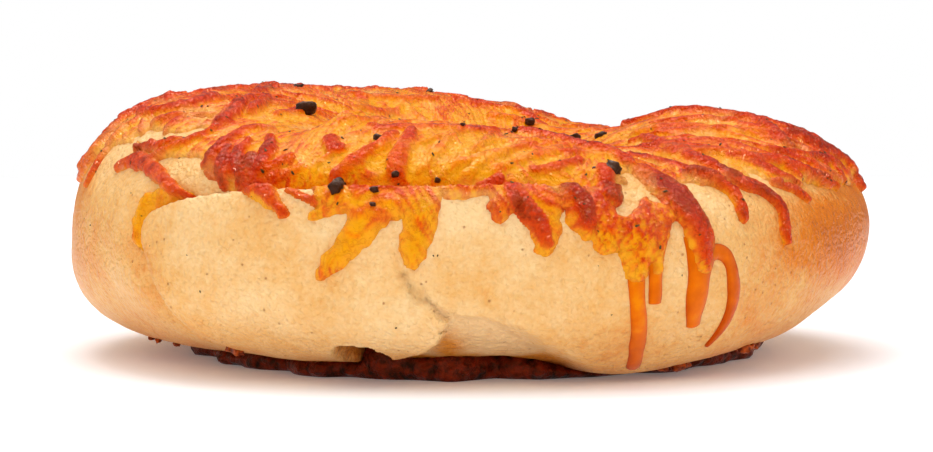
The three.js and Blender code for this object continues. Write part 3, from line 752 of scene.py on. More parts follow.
    # shreds that kept their shape: route, thickness, how brown
    placed: tuple[tuple[Route, float, float], ...] = (
        (((204.5, 36, 0.9), (208, 41, 1.5), (213.5, 40, 1.3), (218, 35, 1.1), (221.5, 31.5, 1.0),
         (224.5, 29.5, 0.7)), 0.9, 0.72),
        (((224, 29.5, 0.6), (228, 30.5, 0.5), (234, 33, 0.45)), 0.4, 0.85),
        (((206, 47, 0.8), (209, 48.5, 0.9), (213, 49.5, 1.0), (215.4, 55, 0.8)), 1.0, 0.92),
        (((213, 43, 0.8), (216.5, 49, 1.0), (218.5, 57, 1.0), (218.6, 66, 0.8)), 0.8, 0.66),
        (((217.7, 70, 1.0), (215, 76, 1.2), (210.5, 83, 1.2), (200, 91, 0.9)), 1.2, 0.86),
        (((215.5, 84, 0.8), (209, 90, 1.0), (201, 95, 0.9), (190, 99, 0.7)), 1.1, 0.84),
        (((189.6, 60, 0.9), (194, 66, 1.1), (197, 75, 1.2), (190, 84, 0.9)), 1.0, 0.88),
        (((180, 53, 0.8), (176, 60, 1.0), (172.7, 69, 0.9)), 1.0, 0.78),
        (((185, 24, 0.9), (188.5, 36, 1.1), (185, 46, 1.1), (179.3, 55, 0.9)), 0.9, 0.62),
        (((195, 25, 0.7), (194, 39, 0.9), (192.5, 51, 0.8)), 0.7, 0.4),
        (((201, 60, 0.8), (204, 68, 0.9), (209, 76, 0.8)), 0.8, 0.5),
        (((226.2, 44, 0.9), (226.8, 51, 1.2), (226.6, 55, 0.9)), 1.0, 0.92),
        (((226.8, 53, 0.9), (226, 63, 1.0), (226.2, 72, 1.0), (230, 73, 0.8)), 0.8, 0.6),
        (((228.6, 52, 0.8), (229.4, 44, 1.0), (230.8, 36, 0.9)), 0.8, 0.84),
        (((230.6, 58, 0.7), (231.6, 48, 1.0), (233.4, 41, 1.0), (235.2, 36, 0.8)), 0.9, 0.88),
        (((234, 50, 0.8), (234.8, 44, 0.9), (237.2, 37.5, 0.8)), 0.8, 0.78),
        (((233.7, 62, 0.8), (235.4, 56, 1.1), (236.6, 49, 1.1), (237, 42, 0.8)), 1.1, 0.86),
        (((228, 43, 1.7), (232.5, 44, 2.2), (237, 42, 1.6)), 0.45, 0.45),
        (((237, 42.5, 0.8), (239, 45, 1.0), (240.6, 50, 0.9)), 0.7, 0.5),
        (((243, 45, 0.7), (240, 41, 0.9), (238, 38, 0.8)), 0.6, 0.4),
        (((234, 36.5, 1.1), (237.6, 34.5, 1.4), (240.6, 29.5, 1.2), (242.6, 25.5, 0.9),
         (243.6, 22.5, 0.8)), 0.8, 0.85),
        (((235, 33.5, 1.0), (238, 30, 0.8)), 0.6, 0.7),
        (((243.5, 32, 0.6), (248, 27.5, 0.7)), 0.5, 0.5),
        (((258.4, 74, 1.0), (258.9, 64, 1.3), (258.2, 54, 1.4), (258.7, 45.5, 1.2)), 1.0, 0.76),
        (((249.4, 43.5, 0.9), (252, 51.7, 1.1), (254.6, 60.7, 1.1), (255.7, 69.7, 0.9)), 1.0, 0.7),
        (((245.6, 63, 1.2), (247.6, 57, 1.3)), 0.9, 0.9),
        (((249, 80, 0.8), (252.5, 77, 0.9), (258, 80, 1.1), (263.5, 82.3, 1.0), (268.3, 84, 1.0),
         (275.3, 88, 0.9)), 0.7, 0.66),
        (((283, 92, 1.1), (290, 88, 1.2), (294.8, 83, 1.4), (297.4, 71, 1.3)), 0.9, 0.88),
        (((262, 48, 0.6), (265.2, 64, 0.8), (266.6, 76, 0.6)), 0.5, 0.2),
        (((265.3, 47, 0.6), (268.9, 58, 0.8), (274, 76, 0.7)), 0.5, 0.12),
        (((269, 46, 0.6), (274, 60, 0.8), (279, 72, 0.8), (284, 80, 0.7)), 0.5, 0.18),
        (((274, 50, 0.6), (280, 62, 0.8), (287, 72, 0.7)), 0.5, 0.24),
        (((271.6, 44.5, 0.8), (274.6, 46.5, 1.0)), 0.6, 0.72),
        (((280, 52, 0.8), (285, 56, 0.9), (289, 62, 0.8)), 0.6, 0.6),
        (((294.4, 77, 1.1), (297.7, 72, 1.3), (298.2, 62, 1.3)), 0.9, 0.82),
        (((292.5, 55, 1.2), (291.8, 46, 1.5), (291.5, 37, 1.6)), 0.8, 0.85),
        (((276, 39, 1.2), (277, 31, 1.5), (279.6, 22, 1.4), (280.4, 14, 1.0)), 0.5, 0.66),
        (((285, 39, 1.2), (286.4, 30, 1.4), (286.5, 22, 1.2)), 0.6, 0.7),
        (((300, 56, 1.8), (301.4, 46, 2.4), (302.9, 36, 2.4), (303.3, 24, 2.1), (304, 15, 1.7),
         (303.6, 8, 1.2)), 0.6, 0.66),
        (((309.7, 54, 1.09), (312, 49, 1.34), (313.6, 40.5, 1.26), (313.6, 33.5, 1.09),
         (313.2, 25, 0.76)), 1.1, 0.88),
        (((333.7, 105, 0.76), (323.3, 89, 1.09), (315.6, 72, 1.26), (315, 61, 1.34), (316.5, 48, 1.34),
         (321, 39, 1.26), (322.7, 30, 1.09), (321.8, 19, 0.92), (321.8, 10, 0.67)), 1.1, 0.9),
        (((312, 80, 0.84), (320.3, 77, 1.09), (325.1, 69, 1.26), (327.7, 60, 1.18), (333, 53.5, 1.26),
         (336, 45.5, 1.18), (339.5, 36, 1.01), (342.4, 30, 0.67)), 1.1, 0.86),
        (((28, 108, 0.76), (14, 98, 1.09), (9, 88, 1.26), (2.6, 80, 1.26), (356, 71.5, 1.26),
         (349.4, 64, 1.18), (346.8, 57, 0.92)), 1.1, 0.84),
        (((346.9, 112, 0.76), (344.2, 96, 0.92), (343.6, 85, 0.92), (343, 75, 0.67)), 0.8, 0.4),
        (((325.8, 43, 0.76), (329.6, 37.5, 0.92), (331.4, 29.5, 0.59)), 0.8, 0.78),
        (((336, 62, 0.67), (343, 52, 0.92), (348, 44, 0.92), (351, 36, 0.67)), 0.9, 0.85),
        (((352, 60, 0.84), (355, 48, 1.09), (0, 34, 1.18), (358, 21, 0.92)), 1.2, 0.94),
        (((18, 74, 0.84), (10, 62, 1.09), (5, 48, 1.09), (6, 34, 0.84)), 1.1, 0.9),
        (((130, 60, 1.2), (138, 44, 1.3), (140, 20, 1.2), (141, 4, 0.8)), 1.0, 0.5),
        (((92, 52, 1.4), (90, 30, 1.4), (91, 8, 1.1), (90, -3, 0.8)), 1.0, 0.45),
        (((24, 56, 1.18), (26, 34, 1.09), (24, 12, 0.76)), 1.0, 0.7),
        (((172, 48, 1.2), (168, 28, 1.2), (169, 10, 0.8)), 1.0, 0.5),
    )

    def __post_init__(self) -> None:
        """Lay all the strands."""
        self.laid = [Strand.along(self.crust, *entry) for entry in self.placed]
        self.tongues = [Strand.along(self.crust, route, self.lobe, 0.0) for route in self.lobes]
        self.bare = [Strand.along(self.crust, route, 0.0, 0.0) for route in self.breaks]
        random = np.random.default_rng(self.seed)
        for shreds in self.shreds:
            self.strewn += self.strew(shreds, random)

    def strew(self, shreds: Shreds, random: np.random.Generator) -> list[Strand]:
        """Lay one stretch's shreds by walking each over the crust, a mm at a time.

        Args:
            shreds: What to strew and where.
            random: Source of the draws.

        Returns:
            The strands.
        """
        def draw(pair: Span) -> Array:
            """One number between the pair for each shred."""
            return random.uniform(*pair, shreds.count)

        turn, lap, length, width = (
            draw(pair) for pair in (shreds.turns, shreds.laps, shreds.length, shreds.width))
        thick, brown = draw(shreds.thick), draw(shreds.brown)
        heading = np.radians(shreds.heading + draw((-shreds.spread, shreds.spread)))
        curl = np.radians(draw((-shreds.curl, shreds.curl)))
        places = []
        for _ in range(int(max(shreds.length)) + 1):
            places.append((turn, lap))
            around, upward = self.crust.slopes(turn, lap)
            way = np.stack([np.cos(heading), np.sin(heading), np.zeros(shreds.count)], -1)
            normal = unit(np.cross(around, upward))
            way = unit(way - normal * np.sum(way * normal, -1, keepdims=True))
            turn = turn + np.sum(way * around, -1) / np.sum(around * around, -1)
            lap = lap + np.sum(way * upward, -1) / np.sum(upward * upward, -1)
            heading = heading + curl
        path = np.stack([self.crust.point(*place) for place in places], 1)
        strands = []
        for i in range(shreds.count):
            points = path[i, :int(length[i]) + 1]
            taper = np.sin(np.linspace(self.blunt, math.pi - self.blunt, len(points))) ** 0.5
            strands.append(Strand(points, width[i] * taper, thick[i], brown[i]))
        return strands

    def edge_distance(self, turn: Array, lap: Array, points: Array) -> Array:
        """Find how far into the film places are.

        Args:
            turn: Their turns.
            lap: Their laps.
            points: The places in mm, one per row.

        Returns:
            Distances in mm from the film's nearest edge, negative outside it.
        """
        outer = (lap - round_the_ring(self.outer_edge, turn)) * MM_PER_LAP
        inner = (round_the_ring(self.inner_edge, turn) - lap) * MM_PER_LAP
        edge = np.minimum(np.minimum(outer, inner), self.deepest)
        # two of these spots thin the film as painted highlights
        edge = edge - at_spots(self.gaps, turn, lap) + self.grain.mixed(points, self.edge_waves)
        for tongue in self.tongues:
            rows, inside, _ = tongue.near(points)
            edge[rows] = np.maximum(edge[rows], np.minimum(inside * self.tongue_depth, self.deepest))
        for bare in self.bare:
            rows, inside, _ = bare.near(points)
            edge[rows] = np.minimum(edge[rows], -inside)
        return edge + self.grain.mixed(points, self.edge_nibbles)

    def raised(self, strands: Sequence[Strand], points: Array) -> tuple[Array, Array, Array]:
        """Lay strands over places on the crust.

        Args:
            strands: The strands.
            points: Places in mm, one per row.

        Returns:
            The height that the strands add, their distance inside, and how brown they are.
        """
        height = np.zeros(len(points))
        depth = np.full(len(points), OUTSIDE)
        brown = np.zeros(len(points))
        for strand in strands:
            rows, inside, across = strand.near(points)
            crown = np.where(inside > 0, np.sqrt(np.clip(1.0 - across**3, 0, 1)), 0.0)
            height[rows] = self.stacked(height[rows], strand.thick * crown)
            depth[rows] = np.maximum(depth[rows], inside)
            brown[rows] = np.maximum(brown[rows], strand.brown * crown)
        return height, depth, brown

    def stacked(self, first: Array, second: Array) -> Array:
        """Height of two strands where they lie over each other."""
        return np.maximum(first, second) + self.pile * np.minimum(first, second)

    def creases(self, turn: Array, lap: Array, points: Array) -> Array:
        """Fine folds of the film along its flow.

        Args:
            turn: Turns of the places.
            lap: Laps of the places.
            points: The places in mm, one per row.

        Returns:
            Readings from 0 to 1 at the folds' crests.
        """
        angle = np.radians(round_the_ring(self.flow, turn))
        (out_size, out_bend), (up_size, up_bend) = self.fold_bends
        out = turn * MM_PER_TURN + out_bend * self.grain(points, out_size)
        up = lap * MM_PER_LAP + up_bend * self.grain(points + 50.0, up_size)
        along = np.cos(angle) * out + np.sin(angle) * up
        across = np.cos(angle) * up - np.sin(angle) * out
        folds = np.zeros(len(points))
        for wide, long, share in self.fold_sets:
            places = np.stack([along / long, across / wide, points[:, 2] * 0.02], -1)
            valleys = np.abs(self.grain(places, 1.0)) * self.fold_sharpness
            folds += share * (1.0 - np.minimum(valleys, 1.0))
        return folds

    def wandered(self, points: Array) -> Array:
        """Places moved a little each way, so that the strands read at them have uneven edges."""
        (far_size, far), (near_size, near) = self.far_wander, self.near_wander
        moves = [far * self.grain(points + shift, far_size) + near * self.grain(points - shift, near_size)
                 for shift in (20.0, 40.0, 60.0)]
        return points + np.stack(moves, -1)

    def browned(self, turn: Array, lap: Array, points: Array, folds: Array, strands: Array) -> Array:
        """Find how brown the cheese is.

        Args:
            turn: Turns of the places.
            lap: Laps of the places.
            points: The places in mm, one per row.
            folds: What the folds read there.
            strands: How brown the strands there are.

        Returns:
            How brown it is, from 0 to 1.
        """
        heat = self.heat + at_spots(self.heats, turn, lap) + self.grain.mixed(points, self.heat_patches)
        brown = np.clip(heat + self.heat_folds * (folds - self.fold_mean), 0.0, self.heat_most)
        return np.clip(brown + (1.0 - 0.4 * brown) * strands * self.strand_heat, 0.0, 1.0)

    def at(self, turn: Array, lap: Array) -> Reading:
        """Read the cheese.

        Args:
            turn: Turns of the places.
            lap: Laps of the places.

        Returns:
            The reading, in the shape of the turns.
        """
        shape = turn.shape
        points = self.crust.point(turn, lap).reshape(-1, 3)
        turn, lap = turn.ravel() % 360.0, lap.ravel() % 360.0
        lap = np.where(lap > 300.0, lap - 360.0, lap)
        places = self.wandered(points)
        edge = self.edge_distance(turn, lap, places)
        laid, laid_edge, laid_brown = self.raised(self.laid, places)
        strewn, _, strewn_brown = self.raised(self.strewn, places)
        on_film = soft_step((edge + self.strewn_past) / self.strewn_fade)
        strewn, strewn_brown = strewn * on_film, strewn_brown * on_film
        strand_brown = np.maximum(laid_brown, strewn_brown)
        edge = np.maximum(edge, np.where(strewn > self.strewn_least, self.strewn_film, OUTSIDE))
        hidden = soft_step(strand_brown / self.strand_hides)
        folds = blend(self.creases(turn, lap, points), self.fold_mean, hidden)
        hang = inside_edge(round_the_ring(self.outer_edge, turn) - lap, self.hang_laps)
        hang = hang * (lap < self.hang_top)
        rounding = np.clip(edge, 0, None) / blend(self.film_round, self.lobe_round, hang)
        body = blend(self.film, self.lobe, hang) * (1.0 - np.exp(-rounding))
        body = body * (1.0 + self.swelling * self.grain(points, 4.0))
        body = body + self.fold_rise * folds * soft_step(edge / self.fold_start)
        covered = inside_edge(np.maximum(edge, laid_edge), self.edge_wall)
        brown = self.browned(turn, lap, points, folds, strand_brown)
        blisters = np.abs(self.grain(points, 1.25)) + 0.5 * np.abs(self.grain(points, 0.7)) - 0.3
        body = body + self.stacked(laid, strewn) + (self.blister_least + self.blister * brown) * blisters
        lift = covered * body - (1.0 - covered) * self.sunk
        whole = edge - self.thin_from + self.grain.mixed(points, self.thin_waves)
        thin = (1.0 - soft_step(whole / self.thin_fade)) * (1.0 - strand_brown)
        thin = np.clip(thin * (1.0 - self.thick_hang * hang), 0.0, 1.0)
        return Reading(*(value.reshape(shape) for value in (lift, brown, thin)))


# -------- meshes

def ring_centre() -> Vector:
    """The axis of the hole in the row's frame, in metres, from the opening that the record states."""
    low, high = frame["record"]["physics"]["openings"][0]["box_m"]
    return Vector(((low[0] + high[0]) / 2, (low[1] + high[1]) / 2, 0.0))


RING_CENTRE = ring_centre()


def new_object(name: str, mesh: bpy.types.Mesh, material: bpy.types.Material) -> bpy.types.Object:
    """Put a mesh in the scene with its material.

    Args:
        name: The object's name.
        mesh: The mesh.
        material: The material, which becomes its only one.

    Returns:
        The object.
    """
    piece = bpy.data.objects.new(name, mesh)
    bpy.context.scene.collection.objects.link(piece)
    mesh.materials.clear()
    mesh.materials.append(material)
    return piece


def make_mesh(name: str, points: Array, faces: Sequence, values: Optional[dict[str, Array]] = None
              ) -> bpy.types.Mesh:
    """Make a smooth mesh in the row's frame.

    Args:
        name: Name of the mesh.
        points: Vertices in mm from the ring's middle, one per row.
        faces: Corner indices of each face.
        values: Numbers to store with each vertex, by attribute name.

    Returns:
        The mesh, in metres.
    """
    mesh = bpy.data.meshes.new(name)
    mesh.from_pydata((points * MM + np.array(RING_CENTRE)).tolist(), [], faces)
    for key, numbers in (values or {}).items():
        attribute = mesh.attributes.new(key, "FLOAT", "POINT")
        attribute.data.foreach_set("value", np.ascontiguousarray(numbers, np.float32).ravel())
    mesh.shade_smooth()
    mesh.update()
    return mesh


def grid_faces(columns: int, rows: int, closed: bool) -> list[list[int]]:
    """Quads of a grid whose rows close on themselves, and whose columns do if closed.

    An open grid gets two more vertices after its own, the middles of its two ends.

    Args:
        columns: How many columns the grid has.
        rows: How many vertices each column has.
        closed: Whether the last column meets the first.

    Returns:
        The corner indices of each face.
    """
    column = np.arange(columns if closed else columns - 1)[:, None]
    row = np.arange(rows)[None, :]
    across, above = (column + 1) % columns, (row + 1) % rows
    quads = np.stack(
        [column * rows + row, across * rows + row, across * rows + above, column * rows + above], -1)
    faces = quads.reshape(-1, 4).tolist()
    if not closed:
        first, last = columns * rows, columns * rows + 1
        end = (columns - 1) * rows
        faces += [[i, (i + 1) % rows, first] for i in range(rows)]
        faces += [[end + (i + 1) % rows, end + i, last] for i in range(rows)]
    return faces


def steps(start: float, end: float, size: float) -> Array:
    """Angles from start towards end at an even step of about the given size, without the end."""
    return np.linspace(start, end, max(2, round(abs(end - start) / size)), endpoint=False)


def once_round(span: Span, fine: float, coarse: float) -> Array:
    """Angles once round, at a fine step inside a span and a coarse one outside it."""
    start, end = span
    return np.concatenate([steps(start, end, fine), steps(end, start + 360.0, coarse)])


def own(piece: bpy.types.Object, kind: Slot, *nodes: str) -> bpy.types.Object:
    """Make a piece ride on the bagel, hide the CAD nodes it stands for and log its faces.

    Args:
        piece: The piece.
        kind: Its finish's slot; not used.
        *nodes: The CAD nodes that it stands for.

    Returns:
        The piece.
    """
    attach(piece, BODY)
    if nodes:
        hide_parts(*nodes)
    log.info("%s: %d faces", piece.name, len(piece.data.polygons))
    return piece


# -------- nodes

Link = Union["Value", bpy.types.NodeSocket, bpy.types.Material, float, str, tuple]


def linear(colour: Colour) -> Colour:
    """Turn an sRGB colour of 0 to 255 into linear light."""
    shares = [channel / 255.0 for channel in colour]
    return tuple(c / 12.92 if c <= 0.04045 else ((c + 0.055) / 1.055) ** 2.4 for c in shares)


def opaque(colour: Colour) -> tuple[float, float, float, float]:
    """Turn an sRGB colour into linear light with full alpha."""
    return (*linear(colour), 1.0)


class Nodes:
    """Adds the nodes of one tree."""

    def __init__(self, tree: bpy.types.NodeTree) -> None:
        """Work on the tree."""
        self.tree = tree

    def add(self, kind: str, settings: Optional[dict[str, object]] = None,
            inputs: Optional[dict[Union[int, str], Link]] = None) -> bpy.types.Node:
        """Add a node.

        Args:
            kind: The node's type.
            settings: Its properties, and a ramp's stops, which are set first.
            inputs: Values or links of its sockets, by name or number.

        Returns:
            The node.
        """
        node = self.tree.nodes.new(kind)
        for key, value in (settings or {}).items():
            if key == "stops":
                self.set_stops(node.color_ramp.elements, value)
            else:
                setattr(node, key, value)
        for key, value in (inputs or {}).items():
            self.feed(node.inputs[key], value)
        return node

    @staticmethod
    def set_stops(elements: bpy.types.ColorRampElements, stops: Sequence[tuple[float, Colour]]) -> None:
        """Give a colour ramp its stops.

        Args:
            elements: The ramp's elements.
            stops: The place and the sRGB colour of each.
        """
        while len(elements) < len(stops):
            elements.new(0.5)
        for element, (place, colour) in zip(elements, stops):
            element.position = place
            element.color = opaque(colour)

    def feed(self, socket: bpy.types.NodeSocket, value: Link) -> None:
        """Set a socket's value, or link it.

        Args:
            socket: The socket.
            value: What it gets.
        """
        if isinstance(value, Value):
            value = value.socket
        if isinstance(value, bpy.types.NodeSocket):
            self.tree.links.new(value, socket)
        else:
            socket.default_value = value


class Value:
    """A number that a shader node puts out, on which sums can be written."""

    def __init__(self, nodes: Nodes, socket: bpy.types.NodeSocket) -> None:
        """Wrap the socket of a node."""
        self.nodes, self.socket = nodes, socket

    def maths(self, operation: str, first: Link, second: Link) -> "Value":
        """Add a Math node for the operation."""
        node = self.nodes.add("ShaderNodeMath", {"operation": operation}, {0: first, 1: second})
        return Value(self.nodes, node.outputs[0])

    def __add__(self, other: Link) -> "Value":
        """This plus other."""
        return self.maths("ADD", self, other)

    __radd__ = __add__

    def __sub__(self, other: Link) -> "Value":
        """This minus other."""
        return self.maths("SUBTRACT", self, other)

    def __rsub__(self, other: Link) -> "Value":
        """Other minus this."""
        return self.maths("SUBTRACT", other, self)

    def __mul__(self, other: Link) -> "Value":
        """This times other."""
        return self.maths("MULTIPLY", self, other)

    __rmul__ = __mul__

    def swing(self, strength: float) -> "Value":
        """A noise's departure from its middle value, times strength."""
        return (self - 0.5) * strength

    def above(self, low: float, high: float) -> "Value":
        """Ease from 0 to 1 as this goes from low to high."""
        node = self.nodes.add(
            "ShaderNodeMapRange", {"interpolation_type": "SMOOTHSTEP"}, {0: self, 1: low, 2: high})
        return Value(self.nodes, node.outputs[0])


class Graph(Nodes):
    """The nodes of one material."""

    def __init__(self, name: str) -> None:
        """Start a material with one Principled shader."""
        self.material = bpy.data.materials.new(name)
        self.material.use_nodes = True
        super().__init__(self.material.node_tree)
        self.shader = self.tree.nodes["Principled BSDF"]
        self.place = self.add("ShaderNodeTexCoord").outputs["Object"]

    def stored(self, name: str) -> Value:
        """The number that the mesh stores under a name."""
        node = self.add("ShaderNodeAttribute", {"attribute_name": name, "attribute_type": "GEOMETRY"})
        return Value(self, node.outputs["Fac"])

    def noise(self, size: float, detail: float = 3.0, roughness: float = 0.55) -> Value:
        """Noise from 0 to 1.

        Args:
            size: Distance in mm over which it changes.
            detail: How many finer noises are laid over it.
            roughness: Their strength.

        Returns:
            The noise.
        """
        node = self.add("ShaderNodeTexNoise", None, {
            "Vector": self.place, "Scale": 1.0 / (size * MM), "Detail": detail, "Roughness": roughness})
        return Value(self, node.outputs["Fac"])

    def cells(self, size: float) -> Value:
        """Distance to the nearest of points strewn about size mm apart, 0 at the points."""
        node = self.add("ShaderNodeTexVoronoi", None, {"Vector": self.place, "Scale": 1.0 / (size * MM)})
        return Value(self, node.outputs["Distance"])

    def ramp(self, value: Value, stops: Sequence[tuple[float, Colour]]) -> bpy.types.NodeSocket:
        """Colours along a value, as stops of place and colour."""
        return self.add("ShaderNodeValToRGB", {"stops": stops}, {0: value}).outputs[0]

    def mix(self, share: Link, first: Link, second: Link) -> bpy.types.NodeSocket:
        """Mix two colours.

        Args:
            share: Share of the second.
            first: The first colour, as a socket or in sRGB.
            second: The second colour, likewise.

        Returns:
            The mixed colour.
        """
        first, second = (
            opaque(colour) if isinstance(colour, tuple) else colour for colour in (first, second))
        node = self.add("ShaderNodeMix", {"data_type": "RGBA"}, {0: share, 6: first, 7: second})
        return node.outputs[2]

    def bump(self, height: Value, depth: float) -> None:
        """Raise the surface by height times depth in mm."""
        node = self.add("ShaderNodeBump", None, {
            "Height": height, "Distance": depth * MM, "Strength": 1.0})
        self.feed(self.shader.inputs["Normal"], node.outputs[0])

    def finish(self, **inputs: Link) -> bpy.types.Material:
        """Feed the shader and give the material.

        Args:
            **inputs: What its sockets get, named with underscores for spaces.

        Returns:
            The material.
        """
        for key, value in inputs.items():
            self.feed(self.shader.inputs[key.replace("_", " ")], value)
        return self.material


# -------- finishes

@dataclass(frozen=True)
class Translucence:
    """How light goes into a finish and comes out again."""

    weight: float
    colour: tuple[float, float, float]
    scale: float = 1.2  # in mm

    def sockets(self) -> dict[str, Link]:
        """What the shader's sockets for it get."""
        return {"Subsurface_Weight": self.weight, "Subsurface_Radius": self.colour,
                "Subsurface_Scale": self.scale * MM}


@dataclass(frozen=True)
class CrustFinish:
    """Baked dough: cream to golden brown, torn dough paler, with fine pores; painted shade darkens the
    pores, the tear, the notch and the torn place's left edge, and painted highlights lighten two spots.
    """

    pale: Colour = (247, 208, 150)
    cream: Colour = (236, 178, 104)
    golden: Colour = (222, 119, 8)
    brown: Colour = (182, 78, 8)
    torn: Colour = (240, 198, 142)
    torn_low: Colour = (222, 140, 40)
    # the darkest torn dough: scorched near the table, and painted shade in the notch and at the torn
    # place's left edge
    scorched: Colour = (146, 66, 18)
    # darker torn dough with painted shade in the tear's hollow
    pit: Colour = (226, 182, 120)
    gloss: Colour = (255, 222, 176)
    gloss_level: float = 0.34
    roughness: float = 0.4
    baked_gloss: float = 0.08  # how much less rough the browned crust is
    translucence: Translucence = Translucence(0.08, (1.0, 0.5, 0.25))
    relief: float = 0.62  # in mm

    def build(self) -> bpy.types.Material:
        """Make the material."""
        graph = Graph("crust")
        bake, torn = graph.stored("bake"), graph.stored("torn")
        broad, fine = graph.noise(9.0, 4.0), graph.noise(1.6, 3.0, 0.6)
        speck, tiny = graph.noise(0.7, 2.0, 0.6), graph.cells(0.7) * -1.0
        # the stored bake also lightens two spots as painted highlight, on the upper front and on the left
        # shoulder
        shade = bake + broad.swing(0.42) + fine.swing(0.3) + speck.swing(0.3)
        crust = graph.ramp(
            shade, [(0.0, self.pale), (0.3, self.cream), (0.62, self.golden), (1.0, self.brown)])
        # torn dough darkens where it is scorched near the table and with painted shade in the notch and at
        # the torn place's left edge
        dough = graph.ramp(
            graph.stored("low") + fine.swing(0.4),
            [(0.0, self.torn), (0.5, self.torn_low), (1.0, self.scorched)])
        # the tear is mixed towards torn dough with painted shade in its hollow
        colour = graph.mix(graph.stored("pit") * 0.6, graph.mix(torn, crust, dough), self.pit)
        # painted shade in the pores: their middles, which the bump sinks, are darkened towards the brown
        pores = graph.cells(2.1).above(0.03, 0.11)
        colour = graph.mix((1.0 - pores) * 0.5, colour, self.brown)
        graph.bump(fine * 0.5 + speck * 0.8 + tiny * 0.35 + pores * 0.4, self.relief)
        return graph.finish(
            Base_Color=colour, Roughness=self.roughness - self.baked_gloss * bake,
            Specular_IOR_Level=self.gloss_level, Specular_Tint=opaque(self.gloss),
            **self.translucence.sockets())


@dataclass(frozen=True)
class CheeseFinish:
    """Melted cheese: yellow where it ran smooth, red-brown and blistered where it is proud, with painted
    shade in its fine creases.
    """

    shades: tuple[tuple[float, Colour], ...] = (
        (0.0, (242, 160, 10)), (0.26, (238, 136, 4)), (0.46, (230, 100, 2)), (0.66, (220, 66, 0)),
        (0.86, (206, 42, 0)), (1.0, (164, 28, 2)),
    )
    thin: Colour = (240, 182, 96)
    burnt: Colour = (92, 24, 8)
    # painted shade in the fine creases
    crease: Colour = (206, 84, 4)
    gloss: Colour = (255, 170, 70)
    gloss_level: float = 0.54
    roughness: float = 0.05
    dull_spots: float = 0.1  # how much rougher its fine spots are
    translucence: Translucence = Translucence(0.12, (1.0, 0.4, 0.08))
    relief: float = 0.5  # in mm

    def build(self) -> bpy.types.Material:
        """Make the material."""
        graph = Graph("melted_cheese")
        brown, thin = graph.stored("brown"), graph.stored("thin")
        fine, spots = graph.noise(0.8, 3.0, 0.65), graph.noise(2.4, 2.0)
        shade = brown + fine.swing(0.56) + spots.swing(0.44)
        colour = graph.mix(thin * 0.65, graph.ramp(shade, self.shades), self.thin)
        burnt = graph.noise(0.9, 3.0, 0.7).above(0.58, 0.68) * brown.above(0.55, 0.9)
        colour = graph.mix(burnt * 0.35, colour, self.burnt)
        wrinkles, blisters = graph.noise(0.75, 3.0, 0.5), graph.cells(0.8) * -1.0
        folds = graph.noise(1.5, 3.0, 0.6)
        # painted shade along the fine crease lines, where the bump sinks the surface
        creases = folds.above(0.465, 0.5) * (1.0 - folds.above(0.5, 0.535))
        colour = graph.mix(creases * spots.above(0.4, 0.6) * 0.3, colour, self.crease)
        crisp = blisters * 0.7 + wrinkles * 0.7
        graph.bump(wrinkles - creases * 0.15 + brown.above(0.3, 0.7) * crisp, self.relief)
        return graph.finish(
            Base_Color=colour, Roughness=self.roughness + self.dull_spots * fine,
            Specular_IOR_Level=self.gloss_level, Specular_Tint=opaque(self.gloss),
            **self.translucence.sockets())


@dataclass(frozen=True)
class RunFinish:
    """Cheese fat that ran down the side: clear amber, darker towards its end."""

    fresh: Colour = (242, 152, 0)
    amber: Colour = (224, 106, 0)
    brown: Colour = (186, 66, 0)
    gloss: Colour = (255, 170, 30)
    gloss_level: float = 0.4
    roughness: float = 0.2
    coat: float = 0.05
    coat_roughness: float = 0.12
    translucence: Translucence = Translucence(0.2, (1.0, 0.4, 0.05))
    relief: float = 0.1  # in mm

    def build(self) -> bpy.types.Material:
        """Make the material."""
        graph = Graph("cheese_run")
        shade = graph.stored("brown") + graph.noise(2.2).swing(0.9)
        colour = graph.ramp(shade, [(0.0, self.fresh), (0.45, self.amber), (1.0, self.brown)])
        graph.bump(graph.noise(1.0, 2.0), self.relief)
        return graph.finish(
            Base_Color=colour, Roughness=self.roughness, Specular_IOR_Level=self.gloss_level,
            Specular_Tint=opaque(self.gloss), Coat_Weight=self.coat, Coat_Roughness=self.coat_roughness,
            **self.translucence.sockets())


@dataclass(frozen=True)
class MottledFinish:
    """A plain rough finish in two colours, for the burnt foot and what is strewn on the bagel."""

    name: str
    low: Colour
    high: Colour
    size: float = 1.2  # of the mottling, in mm
    roughness: float = 0.5
    relief: float = 0.2
    coat: float = 0.0
    sheen: Colour = (255, 176, 120)
    gloss_level: float = 0.35

    def build(self) -> bpy.types.Material:
        """Make the material."""
        graph = Graph(self.name)
        grain = graph.noise(self.size, 4.0, 0.6)
        graph.bump(grain, self.relief)
        return graph.finish(
            Base_Color=graph.ramp(grain, [(0.36, self.low), (0.64, self.high)]), Roughness=self.roughness,
            Specular_IOR_Level=self.gloss_level, Specular_Tint=opaque(self.sheen), Coat_Weight=self.coat)


# -------- the bagel's pieces

